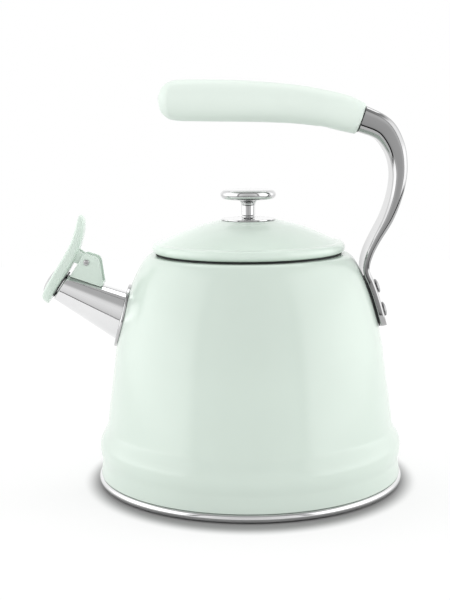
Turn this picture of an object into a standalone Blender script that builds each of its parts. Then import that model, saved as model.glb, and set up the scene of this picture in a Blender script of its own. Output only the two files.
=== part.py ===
"""Stovetop whistling kettle: a spun steel body on a clad base, a lift-off lid, a spout closed by a sprung
whistle flap, and a riveted arm that carries the grip over the lid.

Metres, +Z up. The origin is the centre of the base's underside. The spout points to -X, the arm stands at +X.
"""

import math

import bmesh
import bpy
from mathutils import Matrix, Vector

# ---- Driving dimensions -------------------------------------------------------------------------------
GAP = 0.0003            # clearance between pieces that touch on the real kettle
WALL = 0.0012           # body sheet with its paint
FACETS = 36             # facets round the body, base and lid
SMALL_FACETS = 20       # facets round the knob's post, the whistle discs and the rivets
DISC_FACETS = 24        # facets round the knob's disc
SPOUT_FACETS = 32       # facets round the spout and its flange
BORE_FACETS = 16        # facets round small holes and pins

RING_RADIUS = 0.0950    # polished rim at the foot
RING_TOP = 0.0050
BODY_FOOT_RADIUS = 0.0937
SIDE_LOW = (0.0891, 0.0363)      # where the straight side begins, as (radius, height)
SIDE_HIGH = (0.0833, 0.0800)     # where the shoulder begins
BODY_TOP = 0.1412
NECK_RADIUS = 0.0545
NECK_BOTTOM = 0.1365

LID_RADIUS = 0.0593
LID_ROLL = 0.0031                # radius of the lid's rolled edge
LID_ROLL_HEIGHT = 0.1455
LID_TOP = 0.1620                 # flat seat of the knob
KNOB_RADIUS = 0.0171
KNOB_TOP = 0.1813
ESCUTCHEON_RADIUS = 0.0166
KNOB_SHAFT_RADIUS = 0.0042

SPOUT_LEVEL = 0.1028             # height at which the spout's axis meets the wall
SPOUT_ROOT_RADIUS = 0.0158
SPOUT_MOUTH_RADIUS = 0.0092
FLANGE_RADIUS = 0.0199
FLANGE_THICKNESS = 0.0014
MOUTH_CENTRE = Vector((-0.1163, 0.0, 0.1214))
FLAP_TILT = math.radians(33.5)   # the mouth's plane, from the vertical
FLAP_OUT = Vector((-math.cos(FLAP_TILT), 0.0, math.sin(FLAP_TILT)))
FLAP_UP = Vector((math.sin(FLAP_TILT), 0.0, math.cos(FLAP_TILT)))

PIVOT = Vector((-0.0999, 0.0, 0.1370))
PIN_RADIUS = 0.0012
PIN_HOLE_RADIUS = 0.0015
BRACKET_HALF_WIDTH = 0.0068
CHEEK = 0.0016                   # thickness of the bracket's cheeks
EAR = 0.0017                     # thickness of the flap's ears

FOOT_OFFSET = 0.0014             # inner face of the arm's foot, above the body wall
FOOT_THICKNESS = 0.0036
FOOT_WIDTH = 0.0300
FOOT_LOW, FOOT_HIGH = 0.0960, 0.1235
RIVET_LEVELS = {"rivet_lower": 0.1046, "rivet_upper": 0.1186}
RIVET_HEAD_RADIUS = 0.0045
RIVET_SHANK_RADIUS = 0.0022
TANG_RADIUS = 0.0055
GRIP_WIDTH = 0.0280

# The arm above its foot: centre x and z, thickness, width, squareness of the section, crown (1 / radius)
ARM_STATIONS = (
    (0.0724, 0.1317, 0.0038, 0.0305, 4.5, 10.0),
    (0.0737, 0.1406, 0.0042, 0.0310, 4.0, 6.0),
    (0.0776, 0.1500, 0.0048, 0.0310, 3.6, 2.0),
    (0.0844, 0.1627, 0.0062, 0.0305, 3.2, 0.0),
    (0.0889, 0.1750, 0.0072, 0.0295, 3.0, 0.0),
    (0.0912, 0.1868, 0.0084, 0.0285, 2.8, 0.0),
    (0.0911, 0.1960, 0.0098, 0.0275, 2.6, 0.0),
    (0.0890, 0.2050, 0.0117, 0.0265, 2.4, 0.0),
    (0.0843, 0.2137, 0.0138, 0.0255, 2.3, 0.0),
    (0.0786, 0.2186, 0.0150, 0.0250, 2.2, 0.0),
    (0.0689, 0.2227, 0.0162, 0.0245, 2.2, 0.0),
)
# The grip from its open end to its rounded tip: centre x and z, thickness
GRIP_STATIONS = (
    (0.0684, 0.2229, 0.0194),
    (0.0583, 0.2264, 0.0218),
    (0.0484, 0.2289, 0.0221),
    (0.0312, 0.2317, 0.0231),
    (0.0124, 0.2333, 0.0241),
    (-0.0075, 0.2343, 0.0250),
    (-0.0290, 0.2348, 0.0252),
    (-0.0440, 0.2350, 0.0243),
    (-0.0500, 0.2352, 0.0196),
    (-0.0530, 0.2353, 0.0126),
    (-0.0543, 0.2353, 0.0040),
)
# The flap from its lower edge to the tip of its thumb tab: height up the mouth's plane, half width,
# inner face and outer face (distance out from the mouth's plane)
FLAP_STATIONS = (
    (-0.0134, 0.0022, 0.0014, 0.0040),
    (-0.0122, 0.0056, 0.0014, 0.0062),
    (-0.0098, 0.0091, 0.0014, 0.0073),
    (-0.0050, 0.0125, 0.0014, 0.0081),
    (0.0000, 0.0134, 0.0014, 0.0084),
    (0.0050, 0.0126, 0.0014, 0.0086),
    (0.0098, 0.0106, 0.0014, 0.0088),
    (0.0150, 0.0090, 0.0016, 0.0090),
    (0.0220, 0.0080, 0.0023, 0.0094),
    (0.0280, 0.0076, 0.0036, 0.0101),
    (0.0340, 0.0074, 0.0054, 0.0115),
    (0.0390, 0.0069, 0.0076, 0.0131),
    (0.0425, 0.0055, 0.0098, 0.0142),
    (0.0442, 0.0032, 0.0117, 0.0142),
)

# ---- Finishes: colour, metallic, roughness -------------------------------------------------------------
FINISHES = {
    "mint_paint": ((0.78, 0.88, 0.81), 0.0, 0.22),
    "mint_grip": ((0.80, 0.90, 0.83), 0.0, 0.38),
    "polished_steel": ((0.80, 0.80, 0.80), 1.0, 0.10),
    "satin_steel": ((0.62, 0.62, 0.62), 1.0, 0.35),
    "aluminium": ((0.72, 0.73, 0.74), 1.0, 0.40),
    "black_silicone": ((0.02, 0.02, 0.02), 0.0, 0.55),
}


# ---- Helpers -------------------------------------------------------------------------------------------
def clear_scene():
    for old in list(bpy.data.objects):
        bpy.data.objects.remove(old, do_unlink=True)


def finish_of(piece, finish):
    colour, metallic, roughness = FINISHES[finish]
    material = bpy.data.materials.new(f"{piece.name}_{finish}")
    material.use_nodes = True
    shader = material.node_tree.nodes["Principled BSDF"]
    shader.inputs["Base Color"].default_value = (*colour, 1.0)
    shader.inputs["Metallic"].default_value = metallic
    shader.inputs["Roughness"].default_value = roughness
    piece.data.materials.append(material)


def piece_from(name, shape, finish, place=Matrix()):
    """Closes the bmesh's loose ends and makes it the named object, with its faces pointing out."""
    bmesh.ops.remove_doubles(shape, verts=shape.verts, dist=1e-7)
    bmesh.ops.recalc_face_normals(shape, faces=shape.faces)
    mesh = bpy.data.meshes.new(name)
    shape.to_mesh(mesh)
    shape.free()
    mesh.shade_smooth()
    mesh.set_sharp_from_angle(angle=math.radians(35))
    piece = bpy.data.objects.new(name, mesh)
    piece.matrix_world = place
    bpy.context.scene.collection.objects.link(piece)
    if finish:
        finish_of(piece, finish)
    else:
        piece.hide_render = True
        piece.display_type = "WIRE"
    return piece


def boolean(piece, other, operation="DIFFERENCE"):
    modifier = piece.modifiers.new(other.name, "BOOLEAN")
    modifier.operation = operation
    modifier.object = other


def arc(centre, radii, start, end, steps):
    """Points of an elliptical arc as (radius, height), with its angles in degrees."""
    angles = [math.radians(start + (end - start) * i / steps) for i in range(steps + 1)]
    return [(centre[0] + radii[0] * math.cos(a), centre[1] + radii[1] * math.sin(a)) for a in angles]


def bezier(a, b, c, d, steps):
    points = []
    for i in range(steps + 1):
        t = i / steps
        weights = ((1 - t) ** 3, 3 * t * (1 - t) ** 2, 3 * t * t * (1 - t), t ** 3)
        points.append(tuple(sum(w * p[k] for w, p in zip(weights, (a, b, c, d))) for k in (0, 1)))
    return points


def through(stations, steps):
    """A smooth curve through the stations (Catmull-Rom), each a tuple of any length."""
    points = []
    last = len(stations) - 1
    for i in range(last):
        four = [stations[max(0, min(last, k))] for k in (i - 1, i, i + 1, i + 2)]
        for j in range(steps):
            t = j / steps
            weights = (
                -0.5 * t + t * t - 0.5 * t ** 3,
                1 - 2.5 * t * t + 1.5 * t ** 3,
                0.5 * t + 2 * t * t - 1.5 * t ** 3,
                -0.5 * t * t + 0.5 * t ** 3,
            )
            points.append(tuple(sum(w * s for w, s in zip(weights, values)) for values in zip(*four)))
    return points + [tuple(stations[-1])]


def offset_left(points, distance):
    """The polyline moved to the left of its direction of travel."""
    moved = []
    for i, (r, z) in enumerate(points):
        before, after = points[max(0, i - 1)], points[min(len(points) - 1, i + 1)]
        along = Vector((after[0] - before[0], after[1] - before[1])).normalized()
        moved.append((r - along.y * distance, z + along.x * distance))
    return moved


def spun(profile, steps, closed=True):
    """A bmesh turned about Z from a profile of (radius, height) points."""
    shape = bmesh.new()
    points = [shape.verts.new((r, 0.0, z)) for r, z in profile]
    pairs = list(zip(points, points[1:])) + ([(points[-1], points[0])] if closed else [])
    edges = [shape.edges.new(pair) for pair in pairs]
    bmesh.ops.spin(shape, geom=points + edges, cent=(0, 0, 0), axis=(0, 0, 1),
                   angle=2 * math.pi, steps=steps, use_merge=True)
    return shape


def turned(name, profile, finish, steps=FACETS, place=Matrix(), closed=True):
    """A turned piece. An open profile starts and ends on the axis."""
    return piece_from(name, spun(profile, steps, closed), finish, place)


def lofted(name, rings, finish, hollow=False):
    """A skin over a row of rings with the same number of points. A hollow one joins its last ring to its first."""
    shape = bmesh.new()
    loops = [[shape.verts.new(point) for point in ring] for ring in rings]
    for low, high in zip(loops, loops[1:] + loops[:1] if hollow else loops[1:]):
        for i in range(len(low)):
            shape.faces.new((low[i - 1], low[i], high[i], high[i - 1]))
    if not hollow:
        shape.faces.new(loops[0])
        shape.faces.new(loops[-1])
    return piece_from(name, shape, finish)


def extruded(name, outline, y_low, y_high, finish):
    """A plate with its outline in XZ, from y_low to y_high."""
    shape = bmesh.new()
    face = shape.faces.new([shape.verts.new((x, y_low, z)) for x, z in outline])
    grown = bmesh.ops.extrude_face_region(shape, geom=[face])
    moved = [item for item in grown["geom"] if isinstance(item, bmesh.types.BMVert)]
    bmesh.ops.translate(shape, verts=moved, vec=(0, y_high - y_low, 0))
    return piece_from(name, shape, finish)


def rod(name, radius, start, end, finish=None, steps=BORE_FACETS):
    """A plain cylinder from start to end."""
    shape = bmesh.new()
    length = (end - start).length
    bmesh.ops.create_cone(shape, cap_ends=True, segments=steps, radius1=radius, radius2=radius, depth=length)
    place = Matrix.Translation((start + end) / 2) @ (end - start).to_track_quat("Z", "Y").to_matrix().to_4x4()
    return piece_from(name, shape, finish, place)


# ---- The body's wall, which the spout and the arm's foot follow ------------------------------------------
def body_outline(bead_steps=3):
    """The face from the foot up the side, over the shoulder and down into the neck."""
    band, bead = (0.0928, 0.0144), (0.09395, 0.0236)
    ledge = (0.0605, BODY_TOP)
    outline = [(BODY_FOOT_RADIUS, RING_TOP + GAP)]
    outline += bezier(band, (0.0928, 0.0168), (0.09395, 0.0190), bead, bead_steps)
    outline += bezier(bead, (0.09395, 0.0284), (0.0894, 0.0326), SIDE_LOW, bead_steps)[1:]
    outline += bezier(SIDE_HIGH, (0.0790, 0.1121), (0.0667, BODY_TOP), ledge, 7)
    outline += arc((NECK_RADIUS + 0.0012, BODY_TOP - 0.0012), (0.0012, 0.0012), 90, 180, 2)
    return outline + [(NECK_RADIUS, NECK_BOTTOM)]


def wall(level):
    """The point of the outer face at this height, as (radius, height), and its outward normal."""
    outline = [point for point in body_outline() if point[0] > NECK_RADIUS + 0.005]
    for low, high in zip(outline, outline[1:]):
        if low[1] <= level <= high[1]:
            share = (level - low[1]) / (high[1] - low[1])
            along = Vector((high[0] - low[0], high[1] - low[1])).normalized()
            return Vector((low[0] + share * (high[0] - low[0]), level)), Vector((along.y, -along.x))
    raise ValueError(f"no wall at {level}")


def steady_wall(level):
    """The wall at this height, with its normal averaged over a short stretch so that plates bend smoothly."""
    low, high = wall(level - 0.005)[0], wall(level + 0.005)[0]
    along = (high - low).normalized()
    return wall(level)[0], Vector((along.y, -along.x))


def on_spout_side(up, across, out):
    """A point given by its place on the wall round the spout's root, and its distance out from the wall."""
    lean = steady_wall(SPOUT_LEVEL)[1]
    point, normal = steady_wall(SPOUT_LEVEL + up * lean.x)
    point = point + normal * out
    turn = across / point.x
    return Vector((-point.x * math.cos(turn), point.x * math.sin(turn), point.y))


def on_arm_side(level, out):
    """A point of the wall under the arm's foot, in the XZ plane, and the normal there."""
    point, normal = steady_wall(level)
    point = point + normal * out
    return Vector((point.x, 0.0, point.y)), Vector((normal.x, 0.0, normal.y))


# ---- Body and base --------------------------------------------------------------------------------------
def make_body_shell():
    inner = offset_left(body_outline(bead_steps=2), WALL)
    shell = turned("body_shell", body_outline() + inner[::-1], "mint_paint")
    point, normal = on_arm_side(SPOUT_LEVEL, 0.0)
    centre = Vector((-point.x, 0.0, point.z))
    out = Vector((-normal.x, 0.0, normal.z))
    boolean(shell, rod("spout_hole_cutter", 0.0139, centre - out * 0.008, centre + out * 0.006, steps=32))
    for name in RIVET_LEVELS:
        boolean(shell, rivet_hole(name, "body"))


def make_base():
    rim = arc((0.0930, 0.0027), (RING_RADIUS - 0.0930, 0.0023), 90, -90, 6)
    pan = [(0.0, RING_TOP)] + rim + [(0.0900, 0.0004), (0.0900, 0.0042), (0.0, 0.0042)]
    turned("base_pan", pan, "polished_steel", closed=False)
    turned("heat_disc", [(0, 0.0039), (0.0832, 0.0039), (0.0832, 0.0012), (0, 0.0012)], "aluminium", closed=False)
    cap = [(0, 0.0009), (0.0835, 0.0009), (0.0835, 0.0039), (0.0843, 0.0039), (0.0843, 0.0009)]
    cap += arc((0.0834, 0.0009), (0.0009, 0.0009), 0, -90, 2)[1:] + [(0, 0.0)]
    turned("base_cap", cap, "satin_steel", closed=False)


# ---- Lid and knob ---------------------------------------------------------------------------------------
def make_lid():
    roll = (LID_RADIUS - LID_ROLL, LID_ROLL_HEIGHT)
    crease = (0.0546, 0.1486)
    hole = 0.0026
    dome = bezier((0.0200, LID_TOP - 0.0007), (0.0330, 0.1590), (0.0440, 0.1540), crease, 5)
    outer = [(hole, LID_TOP), (0.0170, LID_TOP)] + dome
    outer += arc(roll, (LID_ROLL, LID_ROLL), 95, -90, 6)
    under = offset_left(list(reversed([(hole, LID_TOP), (0.0170, LID_TOP)] + dome[:-1])), 0.0010)
    turned("lid_shell", outer + [(0.0550, LID_ROLL_HEIGHT - LID_ROLL), (0.0547, 0.1460)] + under, "mint_paint")
    skirt = [(0.0539, 0.1462), (0.0539, 0.1315), (0.0533, 0.1305), (0.0515, 0.1305), (0.0515, 0.1313),
             (0.0526, 0.1313), (0.0531, 0.1319), (0.0531, 0.1466)]
    turned("lid_skirt", skirt, "satin_steel")
    gasket = [(0.0544, 0.1421), (0.0544, 0.1415), (0.0590, 0.1415), (0.0590, 0.1421)]
    turned("lid_gasket", gasket, "black_silicone")


def make_knob():
    seat = LID_TOP + GAP
    plate = [(0.0028, seat), (ESCUTCHEON_RADIUS, seat), (ESCUTCHEON_RADIUS, seat + 0.0004),
             (ESCUTCHEON_RADIUS - 0.0005, seat + 0.0007), (0.0028, seat + 0.0007)]
    turned("knob_escutcheon", plate, "polished_steel", DISC_FACETS)
    collar_low = seat + 0.0007 + GAP
    collar_high = 0.1647
    collar = [(0.0028, collar_low), (0.0043, collar_low), (0.0043, collar_high), (0.0028, collar_high)]
    turned("knob_collar", collar, "polished_steel", SMALL_FACETS)
    low = collar_high + GAP
    head_low = 0.1749
    flare_top = head_low - GAP
    post = [(0.0, low + 0.004), (0.0021, low + 0.004), (0.0021, low), (KNOB_SHAFT_RADIUS, low)]
    post += bezier((KNOB_SHAFT_RADIUS, 0.1705), (KNOB_SHAFT_RADIUS, 0.1722), (0.0048, 0.1735),
                   (0.0062, flare_top - 0.0004), 3)
    post += [(0.0062, flare_top), (0.0, flare_top)]
    turned("knob_post", post, "polished_steel", SMALL_FACETS, closed=False)
    edge = (KNOB_TOP - 0.0007 - head_low) / 2
    head = [(0.0, KNOB_TOP), (0.0110, KNOB_TOP - 0.0003)]
    head += arc((KNOB_RADIUS - edge, head_low + edge), (edge, edge), 80, -90, 5) + [(0.0, head_low)]
    turned("knob_head", head, "polished_steel", DISC_FACETS, closed=False)
    under = LID_TOP - 0.0010 - GAP
    washer = [(0.0026, under), (0.0026, under - 0.0008), (0.0060, under - 0.0008), (0.0060, under)]
    turned("knob_washer", washer, "satin_steel", SMALL_FACETS)
    head_top = under - 0.0008 - GAP
    screw = [(0.0, low + 0.0036), (0.0017, low + 0.0036), (0.0017, head_top), (0.0042, head_top),
             (0.0042, head_top - 0.0016), (0.0034, head_top - 0.0024), (0.0, head_top - 0.0024)]
    turned("knob_screw", screw, "satin_steel", SMALL_FACETS, closed=False)


# ---- Spout ----------------------------------------------------------------------------------------------
def mouth_ring(radius, steps=SPOUT_FACETS):
    turns = [2 * math.pi * i / steps for i in range(steps)]
    return [MOUTH_CENTRE + FLAP_UP * radius * math.cos(t) + Vector((0, radius * math.sin(t), 0)) for t in turns]


def root_ring(radius, out, steps=SPOUT_FACETS):
    turns = [2 * math.pi * i / steps for i in range(steps)]
    return [on_spout_side(radius * math.cos(t), radius * math.sin(t), out) for t in turns]


def spout_skin(name, growth, finish, hollow):
    """The cone from the wall to the mouth, grown by the given amount. A hollow one is the real tube."""
    root = root_ring(SPOUT_ROOT_RADIUS + growth, GAP)
    mouth = mouth_ring(SPOUT_MOUTH_RADIUS + growth)
    middle = [a.lerp(b, 0.5) for a, b in zip(root, mouth)]
    rings = [root, middle, mouth]
    if hollow:
        bore = mouth_ring(SPOUT_MOUTH_RADIUS - WALL)
        throat = root_ring(SPOUT_ROOT_RADIUS - WALL, GAP)
        rings += [bore, [a.lerp(b, 0.5) for a, b in zip(throat, bore)], throat]
    return lofted(name, rings, finish, hollow)


def make_spout():
    spout_skin("spout_tube", 0.0, "polished_steel", True)
    profile = [(SPOUT_ROOT_RADIUS + 0.0005, GAP), (FLANGE_RADIUS, GAP), (FLANGE_RADIUS, FLANGE_THICKNESS - 0.0002),
               (FLANGE_RADIUS - 0.0005, FLANGE_THICKNESS + GAP), (SPOUT_ROOT_RADIUS + 0.0005, FLANGE_THICKNESS + GAP)]
    ring = spun(profile, SPOUT_FACETS)
    for point in ring.verts:
        point.co = on_spout_side(point.co.x, point.co.y, point.co.z)
    piece_from("spout_flange", ring, "polished_steel")


# ---- Whistle flap and its hinge --------------------------------------------------------------------------
def in_flap(up, across, out):
    return MOUTH_CENTRE + FLAP_UP * up + FLAP_OUT * out + Vector((0, across, 0))


def make_bracket():
    outline = [(-0.1104, 0.1284), (-0.0917, 0.1219), (-0.0902, 0.1225), (-0.0899, 0.1237), (-0.0917, 0.1371),
               (-0.0922, 0.1388), (-0.0938, 0.1403), (-0.0995, 0.1423), (-0.1010, 0.1424), (-0.1024, 0.1412),
               (-0.1058, 0.1354)]
    bracket = extruded("whistle_bracket", outline, -BRACKET_HALF_WIDTH, BRACKET_HALF_WIDTH, "mint_paint")
    inside = BRACKET_HALF_WIDTH - CHEEK
    slot = [(-0.1150, 0.1322), (-0.0850, 0.1228), (-0.0850, 0.1500), (-0.1150, 0.1500)]
    boolean(bracket, extruded("bracket_slot_cutter", slot, -inside, inside, None))
    boolean(bracket, spout_skin("bracket_saddle_cutter", GAP, None, False))
    boolean(bracket, pin_hole("bracket"))


def pin_hole(owner):
    reach = Vector((0, 0.02, 0))
    return rod(f"{owner}_pin_cutter", PIN_HOLE_RADIUS, PIVOT - reach, PIVOT + reach)


def make_pin():
    end = BRACKET_HALF_WIDTH + GAP
    shaft = [(0, end + 0.0009), (0.0011, end + 0.0009), (0.0018, end + 0.0004), (0.0018, end), (PIN_RADIUS, end)]
    profile = shaft + [(r, -z) for r, z in reversed(shaft)]
    place = Matrix.Translation(PIVOT) @ Matrix.Rotation(math.pi / 2, 4, "X")
    turned("hinge_pin", profile, "polished_steel", BORE_FACETS, place, closed=False)


def make_spring():
    """A torsion spring on the pin: one leg rests on the bracket's web, the other behind the flap."""
    coil_radius, wire, turns, half_length = 0.0024, 0.00035, 4.25, 0.0018
    steps = int(turns * 9)
    web = math.radians(-118)
    points = []
    for i in range(steps + 1):
        angle = web + 2 * math.pi * turns * i / steps
        y = -half_length + 2 * half_length * i / steps
        points.append(PIVOT + Vector((coil_radius * math.cos(angle), y, coil_radius * math.sin(angle))))
    run_in = (points[0] - points[1]).normalized()
    run_out = (points[-1] - points[-2]).normalized()
    points = [points[0] + run_in * 0.0040] + points + [points[-1] + run_out * 0.0022]
    curve = bpy.data.curves.new("torsion_spring", "CURVE")
    curve.dimensions = "3D"
    curve.bevel_depth = wire
    curve.bevel_resolution = 1
    curve.use_fill_caps = True
    spline = curve.splines.new("POLY")
    spline.points.add(len(points) - 1)
    for target, point in zip(spline.points, points):
        target.co = (*point, 1.0)
    spring = bpy.data.objects.new("torsion_spring", curve)
    bpy.context.scene.collection.objects.link(spring)
    finish_of(spring, "satin_steel")


def rounded_section(half_width, low, high, steps, squareness):
    """Points of a rounded rectangle as (across, out), from its half width and its two faces."""
    points = []
    for i in range(steps):
        turn = 2 * math.pi * i / steps
        c, s = math.cos(turn), math.sin(turn)
        across = half_width * math.copysign(abs(c) ** (2 / squareness), c)
        out = (low + high) / 2 + (high - low) / 2 * math.copysign(abs(s) ** (2 / squareness), s)
        points.append((across, out))
    return points


def make_flap():
    rings = []
    for up, half_width, inner, outer in FLAP_STATIONS:
        section = rounded_section(half_width, inner, outer, 20, 4.0)
        rings.append([in_flap(up, across, out) for across, out in section])
    flap = lofted("whistle_flap", rings, "mint_paint")
    ear_outer = BRACKET_HALF_WIDTH - CHEEK - GAP
    hub_up, hub_out = (PIVOT - MOUTH_CENTRE).dot(FLAP_UP), (PIVOT - MOUTH_CENTRE).dot(FLAP_OUT)
    hub = arc((hub_up, hub_out), (0.0032, 0.0032), 0, -180, 6)
    outline = [(hub_up - 0.0050, 0.0045), (hub_up + 0.0036, 0.0045)] + hub
    flat = [in_flap(up, 0, out) for up, out in outline]
    for side in (-1, 1):
        edges = sorted((side * ear_outer, side * (ear_outer - EAR)))
        ear = extruded(f"ear_cutter_{side + 1}", [(point.x, point.z) for point in flat], *edges, None)
        boolean(flap, ear, "UNION")
    boolean(flap, pin_hole("flap"))
    boolean(flap, rod("whistle_bore_cutter", 0.0066, in_flap(0, 0, -0.001), in_flap(0, 0, 0.012), steps=24))
    boolean(flap, rod("whistle_seat_cutter", 0.0096, in_flap(0, 0, 0.0062), in_flap(0, 0, 0.012), steps=32))


def make_whistle():
    """Two pierced discs with a chamber between them, and the seal that closes on the spout's mouth."""
    place = Matrix.Translation(MOUTH_CENTRE) @ FLAP_OUT.to_track_quat("Z", "Y").to_matrix().to_4x4()
    pierce = 0.0012
    outer = [(pierce, 0.0098), (0.0050, 0.0095), (0.0080, 0.0086), (0.0093, 0.0074), (0.0093, 0.0065),
             (0.0085, 0.0065), (0.0074, 0.0078), (0.0048, 0.0087), (pierce, 0.0090)]
    turned("whistle_disc_outer", outer, "polished_steel", SMALL_FACETS, place)
    inner = [(pierce, 0.0050), (pierce, 0.0044), (0.0063, 0.0044), (0.0063, 0.0062), (0.0057, 0.0062), (0.0057, 0.0050)]
    turned("whistle_disc_inner", inner, "satin_steel", SMALL_FACETS, place)
    seal = [(0.0062, 0.0011), (0.0058, 0.0008), (0.0060, GAP), (0.0088, GAP), (0.0090, 0.0011)]
    turned("mouth_seal", seal, "black_silicone", SMALL_FACETS, place)


# ---- Arm, rivets and grip --------------------------------------------------------------------------------
def section_ring(centre, normal, thickness, width, squareness, crown, steps=16):
    """A ring across the arm, bent round the body by its crown (1 / radius)."""
    ring = []
    for across, out in rounded_section(width / 2, -thickness / 2, thickness / 2, steps, squareness):
        sag = 1 / crown - math.sqrt(1 / crown ** 2 - across ** 2) if crown > 0.01 else 0.0
        ring.append(centre + normal * (out - sag) + Vector((0, across, 0)))
    return ring


def foot_rings(low, high, width, near, thickness, squareness=6.0):
    """Rings of a plate that lies along the wall, with a rounded lower end. near is its inner face's offset."""
    rings = []
    corner = 0.008
    levels = [low, low + 0.0008, low + 0.0024, low + 0.0050, low + corner]
    levels += [low + corner + (high - low - corner) * i / 3 for i in (1, 2, 3)]
    for level in levels:
        short = max(0.0, 1 - (level - low) / corner)
        reach = width - 2 * corner * (1 - math.sqrt(1 - short ** 2))
        centre, normal = on_arm_side(level, near + thickness / 2)
        rings.append(section_ring(centre, normal, thickness, reach, squareness, normal.x / centre.x))
    return rings


def normals_of(stations):
    """The normal in XZ at each station, to the right of the direction of travel."""
    found = []
    for i in range(len(stations)):
        a, b = stations[max(0, i - 1)], stations[min(len(stations) - 1, i + 1)]
        along = Vector((b[0] - a[0], 0.0, b[1] - a[1])).normalized()
        found.append(Vector((along.z, 0.0, -along.x)))
    return found


def rivet_hole(name, owner):
    start, normal = on_arm_side(RIVET_LEVELS[name], -0.010)
    return rod(f"{owner}_{name}_cutter", RIVET_SHANK_RADIUS + GAP, start, start + normal * 0.020)


def make_arm():
    rings = foot_rings(FOOT_LOW, FOOT_HIGH, FOOT_WIDTH, FOOT_OFFSET, FOOT_THICKNESS)
    top, normal = on_arm_side(FOOT_HIGH, FOOT_OFFSET + FOOT_THICKNESS / 2)
    start = (top.x, top.z, FOOT_THICKNESS, FOOT_WIDTH, 6.0, normal.x / top.x)
    stations = through((start,) + ARM_STATIONS, 2)
    normals = normals_of(stations)
    normals[-1] = normals_of(GRIP_STATIONS)[0]
    for (x, z, thickness, width, squareness, crown), side in list(zip(stations, normals))[1:]:
        rings.append(section_ring(Vector((x, 0, z)), side, thickness, width, squareness, crown))
    tang = tang_line(0.0008)
    tang_normals = normals_of(tang)
    tang_normals[0] = normals[-1]
    for (x, z), side in zip(tang, tang_normals):
        rings.append(section_ring(Vector((x, 0, z)), side, 2 * TANG_RADIUS, 2 * TANG_RADIUS, 2.0, 0.0))
    arm = lofted("handle_arm", rings, "polished_steel")
    for name in RIVET_LEVELS:
        boolean(arm, rivet_hole(name, "arm"))
    boolean(arm, grip_screw_hole("tang", 0.0021))


def tang_line(extra):
    """The tang's centre line inside the grip, from the arm's shoulder."""
    end = (GRIP_STATIONS[6][0] - 0.008 - extra, GRIP_STATIONS[6][1])
    return [ARM_STATIONS[-1][:2]] + [station[:2] for station in GRIP_STATIONS[1:7]] + [end]


def make_grip():
    rings = []
    for (x, z, thickness), side in zip(GRIP_STATIONS, normals_of(GRIP_STATIONS)):
        width = GRIP_WIDTH * min(1.0, thickness / 0.0221)
        rings.append(section_ring(Vector((x, 0, z)), side, thickness, width, 2.3, 0.0, 24))
    grip = lofted("grip", rings, "mint_grip")
    bore = tang_line(0.0015)
    sides = normals_of(bore)
    sides[0] = normals_of(GRIP_STATIONS)[0]
    reach = 2 * (TANG_RADIUS + GAP) + 0.0002
    rings = [section_ring(Vector((x, 0, z)), side, reach, reach, 2.0, 0.0) for (x, z), side in zip(bore, sides)]
    boolean(grip, lofted("grip_bore_cutter", rings, None))
    boolean(grip, grip_screw_hole("grip", 0.0024))
    head_start, head_end = screw_line(-0.0180), screw_line(-0.0083)
    boolean(grip, rod("grip_counterbore_cutter", 0.0043, head_start, head_end))


def screw_line(distance):
    """A point on the grip screw's axis, by its distance from the tang's centre, upwards."""
    x, z, _ = GRIP_STATIONS[2]
    side = normals_of(GRIP_STATIONS)[2]
    return Vector((x, 0, z)) + side * distance


def grip_screw_hole(owner, radius):
    return rod(f"{owner}_screw_cutter", radius, screw_line(-0.0140), screw_line(0.0030))


def make_grip_screw():
    side = normals_of(GRIP_STATIONS)[2]
    place = Matrix.Translation(screw_line(0)) @ side.to_track_quat("Z", "Y").to_matrix().to_4x4()
    screw = [(0, 0.0026), (0.0018, 0.0026), (0.0018, -0.0086), (0.0038, -0.0086), (0.0038, -0.0100),
             (0.0028, -0.0106), (0, -0.0106)]
    turned("grip_screw", screw, "satin_steel", BORE_FACETS, place, closed=False)


def make_foot_layers():
    gasket = lofted("arm_gasket", foot_rings(FOOT_LOW + 0.0004, FOOT_HIGH + 0.0012, FOOT_WIDTH - 0.0006,
                                             GAP, FOOT_OFFSET - 2 * GAP), "black_silicone")
    backing_near = -(WALL + GAP + 0.0014)
    backing = lofted("backing_plate", foot_rings(FOOT_LOW + 0.0015, FOOT_HIGH + 0.0010, 0.022,
                                                 backing_near, 0.0014), "satin_steel")
    for name in RIVET_LEVELS:
        boolean(gasket, rivet_hole(name, "gasket"))
        boolean(backing, rivet_hole(name, "backing"))


def make_rivets():
    face = FOOT_OFFSET + FOOT_THICKNESS + GAP
    inside = -(WALL + GAP + 0.0014 + GAP)
    profile = [(0, face + 0.0017), (0.0024, face + 0.0016), (RIVET_HEAD_RADIUS - 0.0006, face + 0.0012),
               (RIVET_HEAD_RADIUS, face + 0.0005), (RIVET_HEAD_RADIUS, face), (RIVET_SHANK_RADIUS, face),
               (RIVET_SHANK_RADIUS, inside), (0.0038, inside), (0.0034, inside - 0.0010), (0, inside - 0.0013)]
    for name, level in RIVET_LEVELS.items():
        point, normal = on_arm_side(level, 0.0)
        place = Matrix.Translation(point) @ normal.to_track_quat("Z", "Y").to_matrix().to_4x4()
        turned(name, profile, "polished_steel", SMALL_FACETS, place, closed=False)


def main():
    clear_scene()
    make_body_shell()
    make_base()
    make_lid()
    make_knob()
    make_spout()
    make_bracket()
    make_pin()
    make_spring()
    make_flap()
    make_whistle()
    make_arm()
    make_foot_layers()
    make_rivets()
    make_grip()
    make_grip_screw()


main()
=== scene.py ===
"""Stovetop whistling kettle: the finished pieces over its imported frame, laid out as a Blender add-on.

Metres, +Z up. The origin is the centre of the base's underside. The spout points to -X, the arm stands at +X.
"""

import math

import bmesh
import bpy
from bpy.props import FloatProperty, FloatVectorProperty, IntProperty, PointerProperty
from mathutils import Matrix, Vector


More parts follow.
